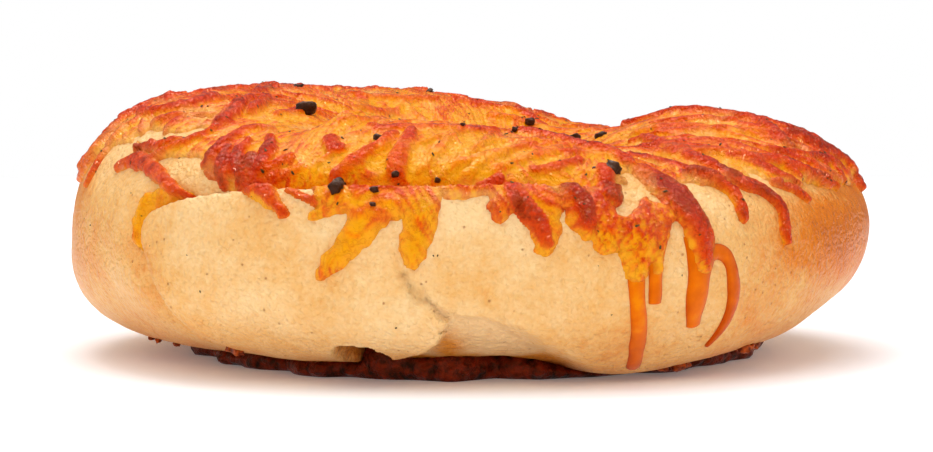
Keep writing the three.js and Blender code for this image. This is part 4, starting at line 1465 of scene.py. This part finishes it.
@dataclass
class Bread:
    """The ring of bread."""

    crust: Crust
    finish: CrustFinish = CrustFinish()
    front: Span = (203.0, 332.0)  # the finely meshed stretch, in turns
    front_column: float = 0.42
    other_column: float = 1.05
    side: Span = (-84.0, 60.0)  # and in laps
    side_row: float = 1.3
    other_row: float = 3.6
    ply_rise: float = 0.12  # height of the torn dough's layers, in mm
    skin_rise: float = 0.03  # and of the skin's grain
    skin_size: float = 0.9
    scorch_top: float = 5.4  # height over the table up to which torn dough is scorched, in mm
    scorch_fade: float = 4.0
    scorch_waves: float = 1.2  # unevenness of that height
    scorch_size: float = 5.0
    corner: Spot = Spot(266.4, -12.0, 0.5, 2.8, 24.0)  # painted shade along the left edge of the torn place, just inside its wall
    # painted shade in the notch's gap under the dough, as a share of the darkest torn dough
    notch_scorch: float = 0.8
    herb_laps: float = 60.0  # under the waist over which the herbs thin out
    baked: float = 0.25  # how brown the crust is on average
    bake_patches: Pairs = ((12.0, 0.12), (4.0, 0.06))
    # how much browner or paler the crust is in places; the spot at turn 202, lap 31 is a painted highlight
    # on the left shoulder, and the one at turn 270, lap 30 is paler crust with a painted highlight over the
    # upper front
    bakes: tuple[Spot, ...] = (
        Spot(270, 30, -0.16, 42, 18), Spot(257, -24, -0.13, 9, 26), Spot(239, -4, -0.09, 11, 24),
        Spot(202, 31, -0.14, 13, 13), Spot(356, 4, 0.28, 34, 60), Spot(338, 8, 0.34, 15, 26),
        Spot(186, 10, 0.22, 26, 40), Spot(92, 20, 0.14, 60, 50), Spot(0, -82, 0.22, math.inf, 26),
    )
    grain: Grain = field(default_factory=lambda: Grain(67))

    def build(self) -> bpy.types.Object:
        """Make the ring, dress it and have it stand for the bread."""
        turns = once_round(self.front, self.front_column, self.other_column)
        laps = once_round(self.side, self.side_row, self.other_row)
        turn, lap = np.meshgrid(turns, laps, indexing="ij")
        notch = self.crust.within(turn % 360, wrap(lap), self.crust.notch)
        torn = np.maximum(self.crust.in_recess(turn % 360, wrap(lap)), notch)
        # where the tear's painted shade goes
        pit = self.crust.within(turn % 360, wrap(lap), self.crust.tear)
        plain = self.crust.ring_point(turn, lap)
        skin = self.skin_rise * self.grain(plain, self.skin_size)
        points = self.crust.point(turn, lap, self.ply_rise * torn * self.plies(plain) + skin)
        height = points[..., 2] - self.scorch_waves * self.grain(plain, self.scorch_size)
        herbs = soft_step((wrap(lap) + self.herb_laps) / self.herb_laps) * (1.0 - torn)
        values = {
            "bake": self.bake(turn, lap, plain), "torn": torn,
            "low": self.scorch(turn, lap, height, notch), "pit": pit, "herbs": herbs}
        mesh = make_mesh(
            "bread_ring", points.reshape(-1, 3), grid_faces(len(turns), len(laps), True), values)
        return own(new_object("bread_ring", mesh, self.finish.build()), Slot.CRUST, "bread")

    def plies(self, points: Array) -> Array:
        """The layers of torn dough, drawn out along the table, from about -1 to 1."""
        return (self.grain(points * (0.35, 0.35, 1.0), 1.1)
                + 0.6 * self.grain(points * (0.4, 0.4, 1.0), 0.6))

    def scorch(self, turn: Array, lap: Array, height: Array, notch: Array) -> Array:
        """Find how dark the torn dough is: scorched near the table, with painted shade in the notch and
        along the torn place's left edge.

        Args:
            turn: Turns of the places.
            lap: Laps of the places.
            height: Their heights over the table, in mm.
            notch: 1 in the notch at the foot, 0 outside.

        Returns:
            How dark it is, from 0 to 1.
        """
        low = soft_step((self.scorch_top - height) / self.scorch_fade)
        corner = self.corner.strength * bell(turn - self.corner.turn, self.corner.wide)
        corner = corner * soft_step((self.corner.lap - wrap(lap)) / self.corner.tall)
        return np.maximum(np.maximum(low, corner), self.notch_scorch * notch)

    def bake(self, turn: Array, lap: Array, points: Array) -> Array:
        """How brown the crust is, from 0 to 1, with two spots made paler as painted highlight."""
        patches = self.grain.mixed(points, self.bake_patches)
        return np.clip(self.baked + patches + at_spots(self.bakes, turn, lap), 0.0, 1.0)


@dataclass
class Cheese:
    """The blanket of melted cheese, made in a front and a back piece that meet under each other."""

    field: CheeseField
    finish: CheeseFinish = CheeseFinish()
    outer_laps: Span = (-6.0, 112.0)
    outer_row: float = 0.8
    inner_laps: Span = (112.0, 166.0)
    inner_row: float = 1.5
    hidden_rows: int = 7
    seam_dips: tuple[float, ...] = (0.06, 0.3, 0.9)  # how far each piece's last columns sink, in mm
    herb_lift: float = 0.15  # lift over the crust from which herbs lie on the cheese, in mm

    def build(self, name: str, start: float, end: float, column: float, material: bpy.types.Material
              ) -> bpy.types.Object:
        """Make one piece of the blanket.

        Args:
            name: The piece's name.
            start: Turn at which it starts.
            end: Turn at which it ends.
            column: Degrees of turn from one column to the next.
            material: Its finish.

        Returns:
            The piece.
        """
        extra = len(self.seam_dips)
        count = round((end - start) / column)
        column = (end - start) / count
        turns = start + column * np.arange(-extra, count + extra + 1)
        laps = np.concatenate([
            steps(*self.outer_laps, self.outer_row), steps(*self.inner_laps, self.inner_row),
            [self.inner_laps[1]]])
        turn, lap = np.meshgrid(turns, laps, indexing="ij")
        read = self.field.at(turn, lap)
        past = np.maximum(start - turns, turns - end) / column
        dips = np.interp(past, np.arange(extra + 1), (0.0, *self.seam_dips))
        points = self.field.crust.point(turn, lap, read.lift - dips[:, None])
        below = np.linspace(0, 1, self.hidden_rows + 2)[1:-1, None]
        loops = np.concatenate([points, points[:, -1:] + (points[:, :1] - points[:, -1:]) * below], 1)
        herbs = (read.lift > self.herb_lift) * (0.25 + 0.75 * read.brown)
        padding = ((0, 0), (0, self.hidden_rows))
        values = {key: np.append(np.pad(value, padding).ravel(), [0, 0])
                  for key, value in {"brown": read.brown, "thin": read.thin, "herbs": herbs}.items()}
        mesh = make_mesh(
            name, np.concatenate([loops.reshape(-1, 3), loops[[0, -1]].mean(1)]),
            grid_faces(len(turns), loops.shape[1], False), values)
        return own(new_object(name, mesh, material), Slot.MELTED, "cheese")


@dataclass(frozen=True)
class Run:
    """One run of cheese down the side: turns, laps and half-widths in mm, thickness, how brown."""

    route: Route
    thick: float
    brown: Span  # at its top and at its end


@dataclass
class Runs:
    """The runs of clear cheese fat down the side of the bread."""

    crust: Crust
    finish: RunFinish = RunFinish()
    sides: int = 18
    stations: int = 56
    sunk: float = 0.35  # depth of its flat side under the crust, in mm
    rounded: float = 0.04  # share of its length over which the end closes
    waver: float = 0.16  # unevenness of its width, as a share
    rims: float = 0.4  # how much browner its two edges are
    grain: Grain = field(default_factory=lambda: Grain(91))
    runs: tuple[Run, ...] = (
        Run(((293.2, 16, 2.4), (293.3, 7, 1.5), (293.7, -6, 1.2), (294.9, -24, 1.15), (296, -42, 1.15),
             (297.2, -56, 0.9)), 0.45, (0.0, 0.8)),
        Run(((296.5, 14, 1.8), (296.3, 5, 1.2), (296.4, -8.5, 1.0)), 0.45, (0.1, 0.6)),
        Run(((303.6, 16, 2.6), (303.5, 7, 2.2), (303.1, -4, 1.8), (303.3, -15, 1.35),
             (303.9, -25, 1.1)), 0.5, (0.5, 0.5)),
        Run(((303.8, 4, 1.0), (305.0, 7.5, 1.1), (306.7, 9, 1.1), (308.4, 6, 1.15), (309.6, -3, 1.15),
             (309.9, -16, 1.0), (309.4, -30, 0.75), (308.4, -42, 0.35)), 0.45, (0.5, 0.95)),
    )

    def build(self) -> bpy.types.Object:
        """Make the runs as one piece."""
        points, faces, brown = [], [], []
        rims = self.rims * np.cos(steps(0.0, 2 * math.pi, 2 * math.pi / self.sides)) ** 4
        for run in self.runs:
            rings = self.tube(run)
            start = sum(len(part) for part in points)
            points.append(np.concatenate([rings.reshape(-1, 3), rings[[0, -1]].mean(1)]))
            faces += [[start + corner for corner in face]
                      for face in grid_faces(self.stations, self.sides, False)]
            shade = np.linspace(*run.brown, self.stations)[:, None] + rims
            brown.append(np.concatenate([shade.ravel(), run.brown]))
        mesh = make_mesh("cheese_runs", np.concatenate(points), faces, {"brown": np.concatenate(brown)})
        return own(new_object("cheese_runs", mesh, self.finish.build()), Slot.MELTED, "cheese")

    def tube(self, run: Run) -> Array:
        """Shape one run: domed over the crust, flat and sunk under it.

        Args:
            run: The run.

        Returns:
            Its rings of points in mm.
        """
        line = catmull_rom(np.array(run.route, float), self.stations)
        share = np.linspace(0.0, 1.0, self.stations)
        end = ((share - (1.0 - self.rounded)) / self.rounded).clip(0, 1)
        width = line[:, 2] * np.sqrt(np.clip(1.0 - end**2, 0.02, 1))
        centre = self.crust.point(line[:, 0], line[:, 1])
        width = width * (1.0 + self.waver * self.grain(centre, 3.0))
        normal = self.crust.normal(line[:, 0], line[:, 1])
        side = unit(np.cross(np.gradient(centre, axis=0), normal))
        angle = steps(0.0, 2 * math.pi, 2 * math.pi / self.sides)
        over = np.sin(angle) * np.where(np.sin(angle) > 0, run.thick, self.sunk)
        height = over * (width / line[:, 2])[:, None] ** 0.5
        height = height * blend(0.6, 1.0, soft_step(share / 0.15))[:, None]
        return (centre[:, None] + side[:, None] * (width[:, None] * np.cos(angle))[..., None]
                + normal[:, None] * height[..., None])


@dataclass
class Foot:
    """The ring of cheese that ran off the bagel and burnt under it."""

    crust: Crust
    finish: MottledFinish = MottledFinish(
        "burnt_cheese", (34, 7, 3), (134, 38, 12), size=1.5, roughness=0.34, relief=1.0, coat=0.06)
    edge: Pairs = (
        (0, 41.5), (45, 40), (90, 40), (135, 40), (180, 39), (215, 39), (240, 40), (262, 40),
        (285, 38.5), (305, 39), (330, 40.5),
    )
    inner: float = 27.0  # radius of the ring's inner side, in mm
    column: float = 0.7
    top_rows: int = 8
    rim_rows: int = 9
    base_rows: int = 6
    rim_round: float = 1.2  # how far the rim bulges out, in mm
    rim_bend: float = 0.86  # share of a half circle that it goes round
    bite: float = 0.3  # how far the top goes up into the bread, in mm
    scallops: tuple[tuple[int, float, float], ...] = ((14, 0.0, 0.8), (23, 1.0, 0.7))
    ragged: float = 0.7  # unevenness of its outline, in mm
    ragged_size: float = 3.4
    lumps: float = 0.75  # bumps of its rim outwards and upwards
    lumps_up: float = 0.3
    lumps_reach: float = 2.2  # distance from the outline over which there are bumps
    grain: Grain = field(default_factory=lambda: Grain(13))

    def outline(self, turns: Array, ray: Array) -> Array:
        """Find how far out the foot's edge lies.

        Args:
            turns: Turns to read it at.
            ray: Directions outwards at those turns.

        Returns:
            Radii in mm.
        """
        plain = round_the_ring(self.edge, turns)
        reach = plain + self.ragged * self.grain(ray * plain[:, None], self.ragged_size)
        for waves, phase, depth in self.scallops:
            reach = reach + depth * np.sin(waves * np.radians(turns) + phase)
        return reach

    def section(self, reach: float, radii: Array, heights: Array) -> tuple[Array, Array]:
        """Shape the foot's section at one turn.

        Args:
            reach: How far out it goes, in mm.
            radii: Radii of points along the bread's underside.
            heights: Their heights over the table.

        Returns:
            Radii and heights of the section's points, from the inner side over the rim and back.
        """
        order = np.argsort(radii)
        shoulder = reach - self.rim_round
        top = np.linspace(self.inner, shoulder, self.top_rows)
        rim = np.linspace(0.0, 1.0, self.rim_rows)
        out = shoulder + self.rim_round * np.sin(rim * math.pi * self.rim_bend)
        base = np.linspace(out[-1], self.inner, self.base_rows + 1)[1:]
        lid = np.interp(top, radii[order], heights[order]) + self.bite
        fall = blend(lid[-1], 0.0, rim ** 1.2)
        return (np.concatenate([top[:-1], out, base]),
                np.concatenate([lid[:-1], fall, np.zeros(self.base_rows)]))

    def build(self) -> bpy.types.Object:
        """Make the foot and have it stand for the burnt base."""
        turns = steps(0.0, 360.0, self.column)
        angle = np.radians(turns)
        ray = np.stack([np.cos(angle), np.sin(angle), 0 * angle], -1)
        reach = self.outline(turns, ray)
        under = self.crust.point(turns[:, None], np.linspace(-95.0, -30.0, 60)[None, :])
        out = np.linalg.norm(under[..., :2], axis=-1)
        sections = [self.section(*one) for one in zip(reach, out, under[..., 2])]
        radius, height = (np.array(rows) for rows in zip(*sections))
        points = ray[:, None] * radius[..., None]
        points[..., 2] = height
        open_air = bell(radius - reach[:, None], self.lumps_reach) * soft_step(height / 0.6)
        bumps = self.grain(points, 2.2) + 0.6 * self.grain(points, 1.1)
        points += ray[:, None] * (self.lumps * open_air * bumps)[..., None]
        rise = self.lumps_up * open_air * self.grain(points, 1.7)
        points[..., 2] = np.clip(points[..., 2] + rise, 0.0, None)
        points = points[:, ::-1]
        faces = grid_faces(len(turns), points.shape[1], True)
        mesh = make_mesh("burnt_foot", points.reshape(-1, 3), faces)
        return own(new_object("burnt_foot", mesh, self.finish.build()), Slot.BURNT, "cheese_base")


@dataclass(frozen=True)
class Kind:
    """A kind of scrap: its name, its finish, where each lies as turn, lap and size in mm."""

    name: str
    finish: MottledFinish
    bits: tuple[tuple[float, float, float], ...]


CHARRED = Kind(
    "charred_bits",
    MottledFinish(
        "charred_onion", (18, 8, 6), (52, 22, 12), size=0.9, roughness=0.4, relief=0.4, coat=0.06),
    (
        (212, 105, 1.35), (250.7, 33.7, 1.2), (293.8, 54, 1.15), (142, 91.6, 0.75), (253.4, 66, 0.6),
        (216.7, 55, 0.6), (281, 92, 0.5), (291, 55.5, 0.4), (292, 91, 0.4), (256.2, 33.4, 0.6),
        (256.4, 27, 0.4), (265, 45.4, 0.5), (258.5, 44.5, 0.5), (268.3, 83, 0.35), (46, 118, 0.9),
        (22, 122, 0.9), (69.9, 108, 0.8), (144, 70, 0.8), (100, 88, 0.6),
    ),
)
CRUMBS = Kind(
    "baked_crumbs",
    MottledFinish(
        "baked_crumb", (88, 24, 8), (198, 88, 28), size=0.8, roughness=0.4, relief=0.4, coat=0.06),
    (
        (192, -62, 0.5), (196, -63, 0.55), (204, -65, 0.5), (226.5, -57, 0.7), (228.5, -56, 0.95),
        (323, -57, 1.0), (325.5, -58, 0.9), (328.5, -60, 0.8), (311, -70, 1.2), (313, -71, 1.0),
        (308, -72, 0.9), (60, -60, 0.8), (120, -62, 0.7), (30, -60, 0.6),
    ),
)


@dataclass
class Scraps:
    """Scraps of one kind that stick to the bagel."""

    cheese: CheeseField
    kind: Kind
    shape: tuple[float, float, float] = (1.0, 0.75, 0.7)
    proud: float = 0.1  # how far its middle stands over the surface, as a share of its size
    cuts: int = 4  # of each edge of the block that it starts as
    squareness: float = 4.0  # 2 being a ball
    rough: float = 0.34
    rough_size: float = 0.8
    grain: Grain = field(default_factory=lambda: Grain(29))

    def build(self) -> bpy.types.Object:
        """Make the scraps as one piece."""
        work = bmesh.new()
        for number, (turn, lap, size) in enumerate(self.kind.bits):
            place = np.array([turn]), np.array([lap])
            lift = np.maximum(self.cheese.at(*place).lift, 0) + self.proud * size
            self.add_scrap(work, number, self.cheese.crust.point(*place, lift)[0], size)
        mesh = bpy.data.meshes.new(self.kind.name)
        work.to_mesh(mesh)
        work.free()
        mesh.shade_smooth()
        return own(new_object(self.kind.name, mesh, self.kind.finish.build()), Slot.BURNT)

    def add_scrap(self, work: bmesh.types.BMesh, number: int, centre: Array, size: float) -> None:
        """Add one scrap to a mesh.

        Args:
            work: The mesh.
            number: The scrap's number, which gives it its own turn and roughness.
            centre: Its middle in mm.
            size: Half its length in mm.
        """
        ahead = Vector((math.cos(1.3 * number), math.sin(1.3 * number), 0.3 * math.sin(number)))
        turned = Vector((1, 0, 0)).rotation_difference(ahead)
        made = len(work.verts)
        corners = bmesh.ops.create_cube(work, size=2.0)["verts"]
        edges = list({edge for corner in corners for edge in corner.link_edges})
        bmesh.ops.subdivide_edges(work, edges=edges, cuts=self.cuts, use_grid_fill=True)
        work.verts.ensure_lookup_table()
        for vertex in work.verts[made:]:
            place = np.array(vertex.co)
            place /= np.linalg.norm(place, self.squareness)
            place *= 1.0 + self.rough * float(self.grain(place[None] + 7.0 * number, self.rough_size)[0])
            place = np.array(turned @ Vector(place * self.shape * size)) + centre
            vertex.co = Vector(place * MM) + RING_CENTRE


@dataclass(frozen=True)
class Scatter:
    """Flecks strewn over a piece by a node tree."""

    name: str
    finish: MottledFinish
    density: float  # to the square mm, where the stored number is 1
    size: float  # of the largest, in mm
    seed: int
    slot: Slot = Slot.BURNT
    stored: str = "herbs"  # the number on the piece that says where they lie
    smallest: float = 0.4  # as a share of the largest
    shape: tuple[float, float, float] = (1.0, 0.6, 0.3)
    rough: float = 1.3
    rough_scale: float = 1.1
    tilt: float = 0.5  # most that one leans over, in radians

    def tree(self, material: bpy.types.Material) -> bpy.types.GeometryNodeTree:
        """Build the node tree, with its sizes as inputs.

        Args:
            material: The flecks' material.

        Returns:
            The tree.
        """
        tree = bpy.data.node_groups.new(self.name, "GeometryNodeTree")
        for label, kind in (("Surface", "Geometry"), ("Density", "Float"), ("Size", "Float"),
                            ("Smallest", "Float"), ("Shape", "Vector"), ("Seed", "Int")):
            tree.interface.new_socket(label, in_out="INPUT", socket_type=f"NodeSocket{kind}")
        tree.interface.new_socket("Flecks", in_out="OUTPUT", socket_type="NodeSocketGeometry")
        add = Nodes(tree).add
        given = add("NodeGroupInput").outputs
        where = add("GeometryNodeInputNamedAttribute", {"data_type": "FLOAT"}, {"Name": self.stored})
        thick = add("ShaderNodeMath", {"operation": "MULTIPLY"}, {
            0: where.outputs[0], 1: given["Density"]})
        spread = add("GeometryNodeDistributePointsOnFaces", None, {
            "Mesh": given["Surface"], "Density": thick.outputs[0], "Seed": given["Seed"]})
        ball = add("GeometryNodeMeshIcoSphere", None, {"Radius": 1.0, "Subdivisions": 2})
        bent = add("ShaderNodeTexNoise", None, {"Scale": self.rough_scale, "Detail": 1.0})
        moved = add("ShaderNodeVectorMath", {"operation": "SUBTRACT"}, {
            0: bent.outputs["Color"], 1: (0.5, 0.5, 0.5)})
        grown = add("ShaderNodeVectorMath", {"operation": "SCALE"}, {
            0: moved.outputs[0], "Scale": self.rough})
        rough = add("GeometryNodeSetPosition", None, {
            "Geometry": ball.outputs[0], "Offset": grown.outputs[0]})
        shaped = add("GeometryNodeTransform", None, {
            "Geometry": rough.outputs[0], "Scale": given["Shape"]})
        spin = add("FunctionNodeRandomValue", {"data_type": "FLOAT_VECTOR"}, {
            "Min": (-self.tilt, -self.tilt, 0.0), "Max": (self.tilt, self.tilt, 2 * math.pi),
            "Seed": given["Seed"]})
        turned = add("FunctionNodeRotateRotation", {"rotation_space": "LOCAL"}, {
            0: spread.outputs["Rotation"], 1: spin.outputs["Value"]})
        share = add("FunctionNodeRandomValue", {"data_type": "FLOAT"}, {
            2: given["Smallest"], 3: 1.0, "Seed": given["Seed"]})
        scale = add("ShaderNodeMath", {"operation": "MULTIPLY"}, {0: share.outputs[1], 1: given["Size"]})
        placed = add("GeometryNodeInstanceOnPoints", None, {
            "Points": spread.outputs["Points"], "Instance": shaped.outputs[0],
            "Rotation": turned.outputs[0], "Scale": scale.outputs[0]})
        solid = add("GeometryNodeRealizeInstances", None, {"Geometry": placed.outputs[0]})
        dressed = add("GeometryNodeSetMaterial", None, {
            "Geometry": solid.outputs[0], "Material": material})
        add("NodeGroupOutput", None, {0: dressed.outputs[0]})
        return tree

    def strew(self, piece: bpy.types.Object) -> bpy.types.Object:
        """Strew them over a piece.

        Args:
            piece: The piece.

        Returns:
            The flecks, as one new mesh piece.
        """
        material = self.finish.build()
        tree = self.tree(material)
        sizes = {"Density": self.density / MM**2, "Size": self.size * MM / 2,
                 "Smallest": self.smallest, "Shape": self.shape, "Seed": self.seed}
        host = bpy.data.objects.new("strewn", piece.data)
        bpy.context.scene.collection.objects.link(host)
        modifier = host.modifiers.new("strew", "NODES")
        modifier.node_group = tree
        for socket in tree.interface.items_tree:
            if socket.name in sizes:
                modifier[socket.identifier] = sizes[socket.name]
        evaluated = host.evaluated_get(bpy.context.evaluated_depsgraph_get())
        mesh = bpy.data.meshes.new_from_object(evaluated)
        host.modifiers.remove(modifier)
        bpy.data.objects.remove(host)
        mesh.name = self.name
        return own(new_object(self.name, mesh, material), self.slot)


# -------- studio

@dataclass(frozen=True)
class Lamp:
    """A square soft light, in metres and watts."""

    name: str
    place: tuple[float, float, float]
    width: float
    power: float
    lights: bool = True  # whether it lights matt surfaces
    glints: bool = True  # whether glossy ones mirror it
    colour: Colour = (255, 255, 255)


@dataclass(frozen=True)
class Studio:
    """A pale floor, soft light and the camera."""

    floor_colour: Colour = (247, 247, 250)
    floor_roughness: float = 0.7
    floor_reach: float = 0.35
    floor_sides: int = 96
    floor_glow: float = 0.1  # light that the floor gives by itself
    sky: float = 0.7
    dim: float = 0.22  # share of the sky's light that comes from behind the bagel
    dim_span: Span = (0.1, 0.9)  # from where to where it fades, 1 being straight behind
    backdrop: float = 1.0
    aim: tuple[float, float, float] = (-0.4, 0.0, 18.0)  # in mm from the ring's middle
    distance: float = 700.0
    elevation: float = 4.8
    lens: float = 186.7
    sensor: float = 36.0
    lamps: tuple[Lamp, ...] = (
        Lamp("key", (-0.35, -0.8, 0.8), 1.0, 3.0),
        Lamp("fill", (0.8, -0.4, 0.55), 0.7, 1.0),
        Lamp("top", (0.0, 0.1, 1.1), 1.0, 5.4, glints=False),
        Lamp("crown", (-0.15, 0.4, 0.9), 0.6, 4.0),
        Lamp("glint_right", (0.35, 0.1, 0.9), 0.1, 3.4, lights=False),
        Lamp("glint_left", (-0.3, 0.25, 0.95), 0.1, 3.4, lights=False),
    )

    def build(self) -> None:
        """Set up floor, light, camera and colour."""
        self.lay_floor()
        for lamp in self.lamps:
            self.hang(lamp)
        world = bpy.data.worlds.new("studio")
        world.use_nodes = True
        self.light_sky(world.node_tree)
        scene = bpy.context.scene
        scene.world = world
        scene.view_settings.view_transform = "Standard"
        self.set_camera()

    def light_sky(self, tree: bpy.types.NodeTree) -> None:
        """Light the room evenly, with a white backdrop behind the bagel.

        Args:
            tree: The world's node tree.
        """
        nodes = Nodes(tree)
        seen = nodes.add("ShaderNodeLightPath").outputs["Is Camera Ray"]
        place = nodes.add("ShaderNodeTexCoord").outputs["Generated"]
        towards = nodes.add("ShaderNodeSeparateXYZ", None, {0: place}).outputs["Y"]
        start, end = self.dim_span
        light = nodes.add("ShaderNodeMapRange", {"interpolation_type": "SMOOTHSTEP"}, {
            "Value": towards, "From Min": start, "From Max": end, "To Min": self.sky,
            "To Max": self.dim * self.sky})
        strength = nodes.add("ShaderNodeMapRange", None, {
            "Value": seen, "To Min": light.outputs[0], "To Max": self.backdrop})
        background = tree.nodes["Background"]
        nodes.feed(background.inputs["Color"], (1.0, 1.0, 1.0, 1.0))
        nodes.feed(background.inputs["Strength"], strength.outputs[0])

    def lay_floor(self) -> None:
        """Lay the floor."""
        corners = [Vector((math.cos(angle), math.sin(angle), 0.0)) * self.floor_reach
                   for angle in np.linspace(0.0, 2 * math.pi, self.floor_sides, endpoint=False)]
        mesh = bpy.data.meshes.new("floor")
        mesh.from_pydata(corners, [], [list(range(len(corners)))])
        material = Graph("floor").finish(
            Base_Color=opaque(self.floor_colour), Roughness=self.floor_roughness,
            Emission_Color=(1.0, 1.0, 1.0, 1.0), Emission_Strength=self.floor_glow)
        new_object("floor", mesh, material)

    def hang(self, lamp: Lamp) -> None:
        """Hang a lamp so that it faces the bagel.

        Args:
            lamp: The lamp.
        """
        light = bpy.data.lights.new(lamp.name, "AREA")
        light.shape, light.size = "SQUARE", lamp.width
        light.energy, light.color = lamp.power, linear(lamp.colour)
        holder = bpy.data.objects.new(lamp.name, light)
        bpy.context.scene.collection.objects.link(holder)
        holder.location = lamp.place
        facing = Vector((0, 0, 0.02)) - holder.location
        holder.rotation_euler = facing.to_track_quat("-Z", "Y").to_euler()
        holder.visible_diffuse, holder.visible_glossy = lamp.lights, lamp.glints

    def set_camera(self) -> None:
        """Place the camera."""
        tilt = math.radians(self.elevation)
        aim = Vector(self.aim) * MM + RING_CENTRE
        holder = bpy.data.objects.new("camera", bpy.data.cameras.new("camera"))
        bpy.context.scene.collection.objects.link(holder)
        holder.location = aim + self.distance * MM * Vector((0, -math.cos(tilt), math.sin(tilt)))
        holder.rotation_euler = (math.pi / 2 - tilt, 0, 0)
        holder.data.lens = self.lens
        holder.data.sensor_width = self.sensor
        holder.data.clip_start = 0.01
        bpy.context.scene.camera = holder


def main() -> None:
    """Build the bagel, dress it and light it."""
    crust = Crust()
    bread = Bread(crust).build()
    cheese_field = CheeseField(crust)
    cheese = Cheese(cheese_field)
    cheese_finish = cheese.finish.build()
    front = cheese.build("cheese_front", 180.0, 360.0, 0.36, cheese_finish)
    back = cheese.build("cheese_back", 0.0, 180.0, 0.5, cheese_finish)
    Runs(crust).build()
    Foot(crust).build()
    for kind in (CHARRED, CRUMBS):
        Scraps(cheese_field, kind).build()
    herb = MottledFinish("dried_herb", (34, 26, 12), (84, 66, 30), size=0.4, roughness=0.7, relief=0.05)
    Scatter("herbs_bread", herb, density=0.008, size=0.5, seed=5).strew(bread)
    Scatter("herbs_front", herb, density=0.05, size=0.75, seed=3).strew(front)
    Scatter("herbs_back", herb, density=0.05, size=0.75, seed=4).strew(back)
    Studio().build()


if __name__ == "__main__":
    logging.basicConfig(level=logging.INFO, format="%(name)s: %(message)s")
    main()
